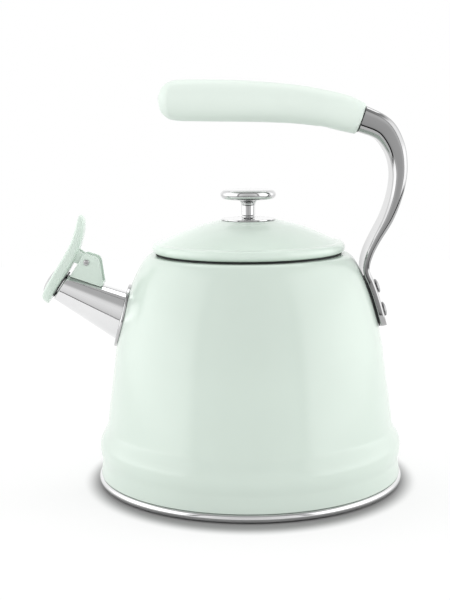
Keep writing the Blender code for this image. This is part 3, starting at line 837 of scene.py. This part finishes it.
class KETTLE_OT_stage(bpy.types.Operator):
    """Set the camera, the pale floor and the soft studio lights"""

    bl_idname = "kettle.stage"
    bl_label = "Studio"

    def execute(self, context):
        scene = context.scene
        scene.view_settings.view_transform = "Standard"
        self.camera(scene)
        self.floor(scene)
        self.lights(scene)
        self.world(scene)
        return {"FINISHED"}

    def camera(self, scene):
        data = bpy.data.cameras.new("camera")
        data.lens = LENS
        data.sensor_width = 36.0
        camera = bpy.data.objects.new("camera", data)
        place = Matrix.Translation(CAMERA_PLACE) @ Matrix.Rotation(HEADING, 4, "Z")
        place = place @ Matrix.Rotation(math.pi / 2 - DOWN, 4, "X") @ Matrix.Rotation(ROLL, 4, "Z")
        camera.matrix_world = place
        scene.collection.objects.link(camera)
        scene.camera = camera

    def floor(self, scene):
        shape = bmesh.new()
        bmesh.ops.create_circle(shape, cap_ends=True, segments=128, radius=FLOOR_RADIUS)
        bmesh.ops.translate(shape, verts=shape.verts, vec=FLOOR_SHIFT)
        floor = as_object("floor", shape)
        material, tree, shader, point = new_finish("floor", FLOOR_TONE, 0.0, Specular_IOR_Level=0.0)
        # Painted contact shadow: the dark grey floor glows more the farther it lies from the kettle's foot
        drawn_in = add_node(tree, "ShaderNodeVectorMath", {0: point, 1: SHADOW_SHAPE}, operation="MULTIPLY")
        far = vector_length(tree, drawn_in.outputs[0])
        glow = ranged(tree, far, SHADOW_START, SHADOW_END, 0.0, FLOOR_GLOW, interpolation_type="SMOOTHSTEP")
        shader.inputs["Emission Color"].default_value = WHITE
        plug(tree, shader, Emission_Strength=glow)
        floor.data.materials.append(material)

    def panel(self, scene, name, azimuth, elevation, distance, size, radiance, aim=0.12, spread=ALL_ROUND):
        """A soft light that faces a height on the kettle's axis, at an azimuth from the front to +X."""
        data = bpy.data.lights.new(name, "AREA")
        data.shape = "RECTANGLE"
        data.size, data.size_y = size
        data.energy = radiance * math.pi * size[0] * size[1]
        data.spread = math.radians(spread)
        lamp = bpy.data.objects.new(name, data)
        turn, rise = math.radians(azimuth), math.radians(elevation)
        out = Vector((math.sin(turn) * math.cos(rise), -math.cos(turn) * math.cos(rise), math.sin(rise)))
        lamp.matrix_world = along_z(Vector((0.0, 0.0, aim)) + out * distance, out)
        lamp.visible_camera = False
        lamp.visible_glossy = spread == ALL_ROUND
        scene.collection.objects.link(lamp)

    def lights(self, scene):
        self.panel(scene, "top_softbox", 180, 68, distance=1.5, size=(1.7, 0.62), radiance=1.85)
        grip = {"distance": 0.55, "size": (0.50, 0.08), "radiance": 0.52, "aim": 0.236, "spread": 30.0}
        self.panel(scene, "grip_softbox", 0, 6, **grip)

    def world(self, scene):
        world = bpy.data.worlds.new("studio")
        scene.world = world
        world.use_nodes = True
        tree = world.node_tree
        tree.nodes.clear()
        direction = add_node(tree, "ShaderNodeTexCoord").outputs["Generated"]
        parts = add_node(tree, "ShaderNodeSeparateXYZ", {"Vector": direction}).outputs
        level = add_node(tree, "ShaderNodeCombineXYZ", {"X": parts["X"], "Y": parts["Y"]}).outputs["Vector"]
        compass = add_node(tree, "ShaderNodeVectorMath", {0: level}, operation="NORMALIZE").outputs["Vector"]
        facing = add_node(tree, "ShaderNodeSeparateXYZ", {"Vector": compass}).outputs["Y"]
        room = self.ramp(tree, parts["Z"], ROOM_BY_HEIGHT)
        frames = self.ramp(tree, facing, FRAME_BY_FACING)
        room = add_node(tree, "ShaderNodeMath", {0: room, 1: frames}, operation="MULTIPLY").outputs[0]
        banks = self.ramp(tree, parts["Z"], BANK_BY_HEIGHT)
        round_about = self.ramp(tree, facing, BANK_BY_FACING)
        bank = add_node(tree, "ShaderNodeMath", {0: banks, 1: round_about}, operation="MULTIPLY").outputs[0]
        both = {0: bank, 1: BANK_STRENGTH, 2: room}
        light = add_node(tree, "ShaderNodeMath", both, operation="MULTIPLY_ADD").outputs[0]
        around = add_node(tree, "ShaderNodeBackground", {"Color": WHITE, "Strength": light})
        white = add_node(tree, "ShaderNodeBackground", {"Color": WHITE, "Strength": 1.0})
        seen = add_node(tree, "ShaderNodeLightPath").outputs["Is Camera Ray"]
        mix = add_node(tree, "ShaderNodeMixShader", {0: seen})
        tree.links.new(around.outputs[0], mix.inputs[1])
        tree.links.new(white.outputs[0], mix.inputs[2])
        out = add_node(tree, "ShaderNodeOutputWorld")
        tree.links.new(mix.outputs[0], out.inputs["Surface"])

    def ramp(self, tree, value, stops):
        """A value between 0 and 1 by a number between -1 and 1."""
        share = add_node(tree, "ShaderNodeMapRange", {"Value": value, "From Min": -1.0, "From Max": 1.0})
        made = add_node(tree, "ShaderNodeValToRGB", {"Fac": share.outputs["Result"]})
        elements = made.color_ramp.elements
        while len(elements) < len(stops):
            elements.new(0.5)
        for element, (position, level) in zip(elements, stops):
            element.position = (position + 1) / 2
            element.color = (level, level, level, 1.0)
        return made.outputs["Color"]


def chosen(context):
    """The sizes and finishes that the panel shows."""
    return context.scene.kettle_sizes, context.scene.kettle_finishes


class KETTLE_OT_body(bpy.types.Operator):
    """Spin the painted body with its bead, shoulder and neck, and pierce it for the spout and the rivets"""

    bl_idname = "kettle.body"
    bl_label = "Body"

    def execute(self, context):
        sizes, finishes = chosen(context)
        outline = body_outline()
        inner = offset_left(outline, sizes.sheet)
        inner[0] = (inner[1][0], BODY_LOW)
        body = as_object("body", spun(outline + inner[::-1], sizes.steps))
        point, normal = on_arm_side(SPOUT_LEVEL, 0.0)
        centre = Vector((-point.x, 0.0, point.z))
        out = Vector((-normal.x, 0.0, normal.z))
        spout_hole = rod(SPOUT_HOLE, centre - out * 0.008, centre + out * 0.006, 96)
        cut(body, [spout_hole] + rivet_holes(sizes.clearance))
        paint = enamel("body", finishes)
        finish(body, "kettle", "mint_paint", paint, "body_shell")
        return {"FINISHED"}


class KETTLE_OT_base(bpy.types.Operator):
    """Spin the polished foot ring with the pan inside it, and the satin cap under it"""

    bl_idname = "kettle.base"
    bl_label = "Base"

    def execute(self, context):
        sizes, finishes = chosen(context)
        rim = arc((0.0930, 0.0027), (FOOT_RADIUS - 0.0930, 0.0023), 90, -90, 20)
        pan = [(0.0, BASE_TOP)] + rim + [(0.0903, 0.0004), (0.0900, 0.0007), (0.0900, 0.0042), (0.0, 0.0042)]
        ring = as_object("foot_ring", spun(pan, sizes.steps, closed=False))
        # Painted shade: the foot ring's steel is a darker copy, set to how bright its reflections look
        steel = polished("foot_ring", finishes, 0.80, 1.3)
        finish(ring, "kettle", "polished_steel", steel, "base_pan")
        wall, floor = CAP_RADIUS - 0.0008, 0.0009
        cap = [(0.0, floor), (wall, floor), (wall, CAP_TOP), (CAP_RADIUS, CAP_TOP), (CAP_RADIUS, floor)]
        cap += arc((CAP_RADIUS - floor, floor), (floor, floor), 0, -90, 8)[1:]
        for radius in (0.0700, 0.0480, 0.0260):
            cap += [(radius + 0.0012, 0.0), (radius + 0.0006, 0.0003), (radius - 0.0006, 0.0003)]
            cap += [(radius - 0.0012, 0.0)]
        cap += [(0.0060, 0.0), (0.0052, 0.0004), (0.0, 0.0004)]
        under = as_object("base_underside", spun(cap, sizes.steps, closed=False))
        satin = brushed("underside_steel", finishes.satin, 0.34)
        finish(under, "kettle", "satin_steel", satin, "base_cap")
        refinish("heat_disc", brushed("heat_disc_aluminium", finishes.aluminium, 0.42))
        return {"FINISHED"}


class KETTLE_OT_lid(bpy.types.Operator):
    """Spin the painted lid with its rolled edge, the sleeve inside it and the seal under it"""

    bl_idname = "kettle.lid"
    bl_label = "Lid"

    def execute(self, context):
        sizes, finishes = chosen(context)
        roll = 0.0031
        centre = (LID_RADIUS - roll, LID_LOW + roll)
        outer = carried_on(
            [(0.0026, LID_TOP), (0.0120, LID_TOP), (0.0165, LID_TOP)],
            ((0.0180, LID_TOP), (0.0190, LID_TOP - 0.0003), (0.0200, 0.1613), 6),
            ((0.0330, 0.1590), (0.0440, 0.1540), (0.0546, 0.1486), 30),
        )
        edge = arc(centre, (roll, roll), 95, -90, 28)
        under = offset_left(outer[-2::-1], 0.0010)
        profile = outer + edge + [(0.0550, LID_LOW), (0.0547, 0.1460)] + under
        lid = as_object("lid", spun(profile, sizes.steps))
        # Painted light: the lid's paint is a lighter copy, making up for light it gets too little of
        paint = enamel("lid", finishes, 1.06)
        finish(lid, "lid", "mint_paint", paint, "lid_shell")
        sleeve = [(0.0539, SLEEVE_HIGH - 0.0004), (0.0539, 0.1315)]
        sleeve = carried_on(sleeve, ((0.0539, SLEEVE_LOW), (0.0536, SLEEVE_LOW), (0.0530, SLEEVE_LOW), 6))
        sleeve += [(0.0515, SLEEVE_LOW), (0.0515, 0.1313), (0.0526, 0.1313)]
        sleeve = carried_on(sleeve, ((0.0530, 0.1313), (0.0531, 0.1315), (0.0531, 0.1321), 5))
        sleeve.append((0.0531, SLEEVE_HIGH))
        inside = as_object("lid_sleeve", spun(sleeve, sizes.steps))
        finish(inside, "lid", "satin_steel", brushed("sleeve_steel", finishes.satin, 0.28), "lid_skirt")
        middle = (SEAL_LOW + SEAL_HIGH) / 2
        half = (SEAL_HIGH - SEAL_LOW) / 2
        ring = [(0.0544, SEAL_HIGH), (0.0544, SEAL_LOW)] + arc((0.0570, middle), (half, half), -90, 90, 6)
        seal = as_object("lid_seal", spun(ring, sizes.steps))
        finish(seal, "lid", "black_silicone", rubbery("lid_silicone", finishes.silicone), "lid_gasket")
        return {"FINISHED"}


class KETTLE_OT_knob(bpy.types.Operator):
    """Turn the knob, its stem and ring, and the round plate that they stand on"""

    bl_idname = "kettle.knob"
    bl_label = "Knob"

    def execute(self, context):
        finishes = context.scene.kettle_finishes
        # Painted shade: the knob's steel is a darker copy, set to how bright its reflections look
        steel = polished("knob", finishes, 0.68)
        edge = (KNOB_TOP - 0.0007 - KNOB_LOW) / 2
        rim = arc((KNOB_RADIUS - edge, KNOB_LOW + edge), (edge, edge), 72, -90, 22)
        top = bezier((0.0, KNOB_TOP), (0.0060, KNOB_TOP), (0.0110, KNOB_TOP - 0.0001), rim[0], 16)[:-1]
        head = top + rim + [(0.0080, KNOB_LOW), (0.0, KNOB_LOW)]
        self.turn("knob", head, steel, "knob_head")
        shaft = RING_RADIUS - 0.0001
        stem = [(0.0, STEM_LOW + 0.004), (0.0021, STEM_LOW + 0.004), (0.0021, STEM_LOW)]
        stem += [(shaft - 0.0003, STEM_LOW), (shaft, STEM_LOW + 0.0003), (shaft, 0.1680), (shaft, 0.1705)]
        stem = carried_on(stem, ((shaft, 0.1722), (0.0048, 0.1735), (STEM_RADIUS, STEM_HIGH - 0.0004), 14))
        stem += [(STEM_RADIUS, STEM_HIGH), (0.0, STEM_HIGH)]
        self.turn("knob_stem", stem, steel, "knob_post")
        middle = (RING_LOW + RING_HIGH) / 2
        half = (RING_HIGH - RING_LOW) / 2
        ring = [(0.0028, RING_HIGH), (0.0028, RING_LOW)]
        ring += arc((RING_RADIUS - half, middle), (half, half), -90, 90, 10)
        self.turn("knob_ring", ring, steel, "knob_collar", closed=True)
        base = [(0.0028, PLATE_LOW), (PLATE_RADIUS, PLATE_LOW), (PLATE_RADIUS, PLATE_LOW + 0.0003)]
        base += arc((PLATE_RADIUS - 0.0004, PLATE_HIGH - 0.0004), (0.0004, 0.0004), 0, 90, 8)
        base += [(0.0028, PLATE_HIGH)]
        self.turn("knob_plate", base, steel, "knob_escutcheon", closed=True)
        satin = brushed("knob_screw_steel", finishes.satin, 0.30)
        refinish("knob_washer", satin)
        refinish("knob_screw", satin)
        return {"FINISHED"}

    def turn(self, name, profile, material, node, closed=False):
        finish(as_object(name, spun(profile, 128, closed)), "lid", "polished_steel", material, node)


class KETTLE_OT_spout(bpy.types.Operator):
    """Skin the conical spout from the body's wall to its mouth, with the collar round its root"""

    bl_idname = "kettle.spout"
    bl_label = "Spout"

    def execute(self, context):
        sizes, finishes = chosen(context)
        sheet, lip = sizes.sheet, sizes.sheet / 2
        root = root_section(sizes.spout_root, sizes.clearance)
        mouth = mouth_section(sizes.spout_mouth, -lip)
        sections = between(root, mouth, 20)
        for angle in range(20, 180, 20):
            turn = math.radians(angle)
            radius = sizes.spout_mouth - lip * (1 - math.cos(turn))
            sections.append(mouth_section(radius, lip * (math.sin(turn) - 1)))
        bore = mouth_section(sizes.spout_mouth - sheet, -lip)
        throat = root_section(sizes.spout_root - sheet, sizes.clearance)
        sections += between(bore, throat, 20)
        tube = as_object("spout", lofted(sections, joined=True))
        axis = (MOUTH_CENTRE - on_spout_side(0, 0, 0)).normalized()
        place = along_z(MOUTH_CENTRE, axis)
        # Painted shade: the spout's steel is a slightly darker copy, set to how bright its reflections look
        steel = polished("spout", finishes, 0.91, **lay_of(place))
        finish(tube, "kettle", "polished_steel", steel, "spout_tube")
        inner, height, low = sizes.spout_root + 0.0005, 0.0014, sizes.clearance
        profile = [(inner, low), (sizes.flange, low), (sizes.flange, height - 0.0003)]
        profile += arc((sizes.flange - 0.0006, height - 0.0003), (0.0006, 0.0006), 0, 90, 8)[1:]
        profile += [(inner, height + 0.0003)]
        collar = spun(profile, 96)
        for point in collar.verts:
            point.co = on_spout_side(point.co.x, point.co.y, point.co.z)
        ring = as_object("spout_collar", collar)
        # Painted shade: the collar's steel is a darker copy, set to how bright its reflections look
        steel = polished("collar", finishes, 0.62, 1.6, **lay_of(place))
        finish(ring, "kettle", "polished_steel", steel, "spout_flange")
        return {"FINISHED"}


class KETTLE_OT_hinge(bpy.types.Operator):
    """Shape the painted hinge bracket on the spout, the pin through it and the spring on the pin"""

    bl_idname = "kettle.hinge"
    bl_label = "Hinge"

    def execute(self, context):
        sizes, finishes = chosen(context)
        self.bracket(sizes, finishes)
        self.pin(finishes)
        self.spring(sizes, finishes)
        return {"FINISHED"}

    def bracket(self, sizes, finishes):
        outline = carried_on(
            [(-0.1104, 0.1284), (-0.0917, 0.1219), (-0.0902, 0.1225), (-0.0899, 0.1237)],
            ((-0.0905, 0.1282), (-0.0911, 0.1327), (-0.0917, 0.1371), 5),
            ((-0.0920, 0.1392), (-0.0930, 0.1403), (-0.0952, 0.1409), 8),
            ((-0.0966, 0.1413), (-0.0980, 0.1418), (-0.0995, 0.1423), 4),
            ((-0.1008, 0.1426), (-0.1017, 0.1423), (-0.1024, 0.1412), 6),
        )
        outline.append((-0.1058, 0.1354))
        bracket = as_object("hinge_bracket", plate(outline, -BRACKET_SIDE, BRACKET_SIDE))
        slot = [(-0.1150, 0.1322), (-0.0850, 0.1228), (-0.0850, 0.1500), (-0.1150, 0.1500)]
        cut(bracket, [plate(slot, -INSIDE_BRACKET, INSIDE_BRACKET)])
        shape = bmesh.new()
        shape.from_mesh(bracket.data)
        rounded_edges(shape, 0.0004, 3)
        shape.to_mesh(bracket.data)
        shape.free()
        cut(bracket, [spout_cone(sizes, sizes.clearance), pin_hole()])
        # Painted light: the bracket's paint is a lighter copy, making up for light it gets too little of
        paint = enamel("bracket", finishes, 1.06)
        finish(bracket, "kettle", "mint_paint", paint, "whistle_bracket", flat=True)

    def pin(self, finishes):
        low = PIN_END - 0.0009
        rim = (0.0018, low + 0.0003)
        head = bezier((0.0, PIN_END), (0.0009, PIN_END), (0.0015, PIN_END - 0.0002), rim, 8)
        shaft = head + [(0.0018, low), (0.0012, low)]
        profile = shaft + [(r, -z) for r, z in reversed(shaft)]
        place = Matrix.Translation(PIVOT) @ Matrix.Rotation(math.pi / 2, 4, "X")
        pin = as_object("hinge_rivet", spun(profile, 48, closed=False), place)
        # Painted shade: the hinge rivet's steel is a darker copy, set to how bright its reflections look
        steel = polished("hinge_rivet", finishes, 0.55, roughness=0.36, **lay_of(place))
        finish(pin, "kettle", "polished_steel", steel, "hinge_pin")

    def spring(self, sizes, finishes):
        half, whole, steps, run = 0.0018, 4.25, 136, 0.0040
        start = math.radians(-118)
        end = start + 2 * math.pi * whole
        shape = bmesh.new()
        place = Matrix.Translation(PIVOT - Vector((0, half, 0))) @ Matrix.Rotation(-start, 4, "Y")
        place = place @ Matrix.Translation((sizes.coil, 0, 0))
        run_in = Vector((math.sin(start), 0, -math.cos(start))) * run
        place = Matrix.Translation(run_in) @ place
        bmesh.ops.create_circle(shape, segments=10, radius=sizes.wire, matrix=place)
        leg = bmesh.ops.extrude_edge_only(shape, edges=shape.edges[:])["geom"]
        ends = [part for part in leg if isinstance(part, bmesh.types.BMVert)]
        bmesh.ops.translate(shape, verts=ends, vec=-run_in)
        ring = [part for part in leg if not isinstance(part, bmesh.types.BMFace)]
        coil = bmesh.ops.spin(
            shape,
            geom=ring,
            cent=PIVOT - Vector((0, half, 0)),
            axis=(0, -1, 0),
            dvec=(0, 2 * half / steps, 0),
            angle=2 * math.pi * whole,
            steps=steps,
            use_merge=False,
        )["geom_last"]
        tail = [part for part in coil if isinstance(part, bmesh.types.BMEdge)]
        leg = bmesh.ops.extrude_edge_only(shape, edges=tail)["geom"]
        ends = [part for part in leg if isinstance(part, bmesh.types.BMVert)]
        bmesh.ops.translate(shape, verts=ends, vec=Vector((-math.sin(end), 0, math.cos(end))) * 0.0022)
        bmesh.ops.holes_fill(shape, edges=[edge for edge in shape.edges if edge.is_boundary], sides=0)
        spring = as_object("hinge_spring", shape)
        wire = brushed("spring_steel", finishes.satin, 0.26, rings=False, scale=(8, 1, 8))
        finish(spring, "kettle", "satin_steel", wire, "torsion_spring")


class KETTLE_OT_flap(bpy.types.Operator):
    """Skin the painted flap with its thumb tab and hinge ears, and set the whistle and the seal in it"""

    bl_idname = "kettle.flap"
    bl_label = "Whistle flap"

    def execute(self, context):
        finishes = context.scene.kettle_finishes
        self.flap(finishes)
        place = along_z(MOUTH_CENTRE, MOUTH_OUT)
        outer = bezier((0.0012, 0.0098), (0.0040, 0.0097), (0.0070, 0.0093), (0.0088, 0.0080), 12)
        outer += [(0.0093, 0.0074), (0.0093, 0.0065), (0.0085, 0.0065), (0.0082, 0.0073)]
        outer += bezier((0.0078, 0.0077), (0.0065, 0.0085), (0.0040, 0.0089), (0.0012, 0.0090), 8)
        disc = as_object("whistle_plate", spun(outer, 96), place)
        # Painted shade: the whistle's steel is a darker copy, so its outline shows grey instead of white
        steel = polished("whistle", finishes, 0.55, 1.6, **lay_of(place))
        finish(disc, "whistle", "polished_steel", steel, "whistle_disc_outer")
        refinish("whistle_disc_inner", brushed("whistle_inner_steel", finishes.satin, 0.30, **lay_of(place)))
        ring = [(0.0062, 0.0011), (0.0060, 0.0009)] + arc((0.0064, 0.0009), (0.0002, 0.0002), 180, 270, 5)
        ring += [(0.0078, 0.0007)] + arc((0.0080, 0.0009), (0.0002, 0.0002), -90, 20, 6) + [(0.0082, 0.0011)]
        seal = as_object("flap_seal", spun(ring, 96), place)
        lip = block((0.0016, 0.0044, 0.0008), along_z(self.point(0.0080, 0, 0.0007), MOUTH_OUT))
        cut(seal, [rounded_edges(lip, 0.0002, 2)], "UNION")
        finish(seal, "whistle", "black_silicone", rubbery("flap_silicone", finishes.silicone), "mouth_seal")
        return {"FINISHED"}

    def point(self, up, across, out):
        return MOUTH_CENTRE + MOUTH_UP * up + MOUTH_OUT * out + Vector((0, across, 0))

    def flap(self, finishes):
        sections = []
        for up, half_width, inner, outer in through(FLAP_STATIONS, 4):
            middle = (inner + outer) / 2
            shape = oval(2 * half_width, outer - inner, 4.0)
            sections.append([self.point(up, across, middle + out) for across, out in shape])
        flap = as_object("flap", lofted(sections))
        hub_up, hub_out = (PIVOT - MOUTH_CENTRE).dot(MOUTH_UP), (PIVOT - MOUTH_CENTRE).dot(MOUTH_OUT)
        hub = arc((hub_up, hub_out), (0.0032, 0.0032), 0, -180, 20)
        outline = [(hub_up - 0.0050, 0.0045), (hub_up + 0.0036, 0.0045)] + hub
        flat = [self.point(up, 0, out) for up, out in outline]
        ears = []
        outside = INSIDE_BRACKET - 0.0003
        for side in (-1, 1):
            low, high = sorted((side * outside, side * (outside - 0.0017)))
            ears.append(rounded_edges(plate([(point.x, point.z) for point in flat], low, high), 0.0003, 2))
        cut(flap, ears, "UNION")
        seat = self.point(0, 0, 0.0062), self.point(0, 0, 0.012)
        holes = [
            pin_hole(),
            rod(0.0066, self.point(0, 0, -0.001), seat[1], 64),
            rod(0.0096, *seat, 96),
        ]
        cut(flap, holes)
        # Painted light: the flap's paint is a lighter copy, making up for light it gets too little of
        paint = enamel("flap", finishes, 1.03)
        finish(flap, "whistle", "mint_paint", paint, "whistle_flap")


class KETTLE_OT_arm(bpy.types.Operator):
    """Skin the polished arm from its riveted foot to the grip, with its pad, inner plate and rivets"""

    bl_idname = "kettle.arm"
    bl_label = "Arm and rivets"

    def execute(self, context):
        sizes, finishes = chosen(context)
        self.arm(sizes, finishes)
        gap, inside = sizes.clearance, sizes.sheet + sizes.clearance + 0.0014
        width, thickness = sizes.foot_width - 0.0006, FOOT_OFFSET - 2 * gap
        pad = foot_sections(FOOT_LOW + 0.0004, FOOT_HIGH + 0.0012, width, gap, thickness)
        piece = as_object("arm_pad", lofted(pad))
        cut(piece, rivet_holes(gap))
        finish(piece, "kettle", "black_silicone", rubbery("pad_silicone", finishes.silicone), "arm_gasket")
        plates = foot_sections(FOOT_LOW + 0.0015, FOOT_HIGH + 0.0010, 0.022, -inside, 0.0014)
        piece = as_object("inner_plate", lofted(plates))
        cut(piece, rivet_holes(gap))
        satin = brushed("inner_plate_steel", finishes.satin, 0.32, rings=False, scale=(1, 1, 10))
        finish(piece, "kettle", "satin_steel", satin, "backing_plate")
        self.rivets(sizes, finishes, inside)
        return {"FINISHED"}

    def arm(self, sizes, finishes):
        sections = foot_sections(FOOT_LOW, FOOT_HIGH, sizes.foot_width, FOOT_OFFSET, FOOT_THICKNESS)
        top, normal = on_arm_side(FOOT_HIGH, FOOT_OFFSET + FOOT_THICKNESS / 2)
        start = (top.x, top.z, FOOT_THICKNESS, sizes.foot_width, FOOT_EDGE, normal.x / top.x)
        stations = through((start,) + ARM_STATIONS, 8)
        normals = normals_of(stations)
        normals[-1] = normals_of(GRIP_STATIONS)[0]
        for (x, z, thickness, width, edge, crown), side in list(zip(stations, normals))[1:]:
            sections.append(placed(bar(width, thickness, edge), Vector((x, 0, z)), side, crown))
        tang = tang_line(0.0008)
        sides = normals_of(tang)
        sides[0] = normals[-1]
        round_bar = bar(2 * TANG_RADIUS, 2 * TANG_RADIUS, TANG_RADIUS)
        for (x, z), side in zip(tang, sides):
            sections.append(placed(round_bar, Vector((x, 0, z)), side))
        arm = as_object("arm", lofted(sections))
        cut(arm, rivet_holes(sizes.clearance) + [screw_hole(0.0021, 24)])
        # Painted shade: the arm's steel is a much darker copy, set to how bright its reflections look
        steel = polished("arm", finishes, 0.47, rings=False, scale=(1, 1, 12))
        finish(arm, "kettle", "polished_steel", steel, "handle_arm")

    def rivets(self, sizes, finishes, inside):
        face = FOOT_OFFSET + FOOT_THICKNESS + sizes.clearance
        top, end = face + 0.0017, inside + sizes.clearance
        rim = (sizes.rivet, face + 0.0004)
        profile = bezier((0.0, top), (0.0022, top), (sizes.rivet - 0.0002, face + 0.0014), rim, 14)
        profile += [(sizes.rivet - 0.0002, face), (RIVET_SHANK, face), (RIVET_SHANK, -end), (0.0038, -end)]
        back = -end - 0.0013
        profile = carried_on(profile, ((0.0037, -end - 0.0008), (0.0020, back), (0.0, back), 10))
        for node, level in RIVET_LEVELS.items():
            point, normal = on_arm_side(level, 0.0)
            place = along_z(point, normal)
            rivet = as_object(f"arm_{node}", spun(profile, 64, closed=False), place)
            # Painted shade: the rivets' steel is a much darker copy, set to how bright their reflections look
            steel = polished(node, finishes, 0.42, roughness=0.34, **lay_of(place))
            finish(rivet, "kettle", "polished_steel", steel, node)


class KETTLE_OT_grip(bpy.types.Operator):
    """Skin the moulded grip with its bore and counterbore, and turn its slotted screw"""

    bl_idname = "kettle.grip"
    bl_label = "Grip"

    def execute(self, context):
        sizes, finishes = chosen(context)
        stations = through(GRIP_STATIONS, 8)
        sides = normals_of(stations)
        x, z, thickness = stations[0]
        start, along = Vector((x, 0, z)), Vector((-sides[0].z, 0, sides[0].x))
        soft = 0.0007
        sections = []
        for (x, z, deep), side in reversed(list(zip(stations, sides))[1:]):
            sections.append(self.ring(sizes, Vector((x, 0, z)), side, deep))
        for angle in range(0, 91, 15):
            turn = math.radians(angle)
            centre = start + along * soft * (1 - math.sin(turn))
            sections.append(self.ring(sizes, centre, sides[0], thickness - 2 * soft * (1 - math.cos(turn))))
        bore = tang_line(0.0015)
        bore[0] = GRIP_STATIONS[0][:2]
        bore_sides = normals_of(bore)
        bore_sides[0] = sides[0]
        reach = 2 * (TANG_RADIUS + sizes.clearance) + 0.0002
        for (x, z), side in zip(bore, bore_sides):
            sections.append(placed(oval(reach, reach, 2.0), Vector((x, 0, z)), side))
        grip = as_object("handle_grip", lofted(sections))
        counterbore = rod(0.0043, screw_line(-0.0180), screw_line(-0.0083), 48)
        cut(grip, [screw_hole(0.0024, 32), counterbore])
        finish(grip, "kettle", "mint_grip", moulded("grip_resin", finishes.grip), "grip")
        self.screw(finishes)
        return {"FINISHED"}

    def ring(self, sizes, centre, side, thickness):
        width = sizes.grip_width * min(1.0, thickness / 0.0221)
        return placed(oval(width, thickness, 2.3), centre, side)

    def screw(self, finishes):
        side = normals_of(GRIP_STATIONS)[2]
        place = along_z(screw_line(0.0), side)
        profile = [(0.0, 0.0026), (0.0014, 0.0026), (0.0018, 0.0022), (0.0018, -0.0086), (0.0036, -0.0086)]
        profile += [(0.0038, -0.0088), (0.0038, -0.0099)]
        profile = carried_on(profile, ((0.0034, -0.0104), (0.0020, -0.0106), (0.0, -0.0106), 8))
        screw = as_object("grip_bolt", spun(profile, 48, closed=False), place)
        slot = block((0.0070, 0.0009, 0.0010), place @ Matrix.Translation((0, 0, -0.0105)))
        cut(screw, [slot])
        satin = brushed("grip_bolt_steel", finishes.satin, 0.28, **lay_of(place))
        finish(screw, "kettle", "satin_steel", satin, "grip_screw")


OPERATORS = (
    KETTLE_OT_stage,
    KETTLE_OT_body,
    KETTLE_OT_base,
    KETTLE_OT_lid,
    KETTLE_OT_knob,
    KETTLE_OT_spout,
    KETTLE_OT_hinge,
    KETTLE_OT_flap,
    KETTLE_OT_arm,
    KETTLE_OT_grip,
)


class KETTLE_PT_build(bpy.types.Panel):
    """The kettle's sizes, finishes and building steps"""

    bl_idname = "KETTLE_PT_build"
    bl_label = "Stovetop Kettle"
    bl_space_type = "VIEW_3D"
    bl_region_type = "UI"
    bl_category = "Kettle"

    def draw(self, context):
        for group in (context.scene.kettle_sizes, context.scene.kettle_finishes):
            column = self.layout.column(align=True)
            for name in group.__annotations__:
                column.prop(group, name)
        column = self.layout.column(align=True)
        for operator in OPERATORS:
            column.operator(operator.bl_idname)


CLASSES = (KettleSizes, KettleFinishes, *OPERATORS, KETTLE_PT_build)


def register():
    for cls in CLASSES:
        bpy.utils.register_class(cls)
    bpy.types.Scene.kettle_sizes = PointerProperty(type=KettleSizes)
    bpy.types.Scene.kettle_finishes = PointerProperty(type=KettleFinishes)


def unregister():
    del bpy.types.Scene.kettle_finishes
    del bpy.types.Scene.kettle_sizes
    for cls in reversed(CLASSES):
        bpy.utils.unregister_class(cls)


def main():
    register()
    for operator in OPERATORS:
        group, step = operator.bl_idname.split(".")
        getattr(getattr(bpy.ops, group), step)()


if __name__ == "__main__":
    main()
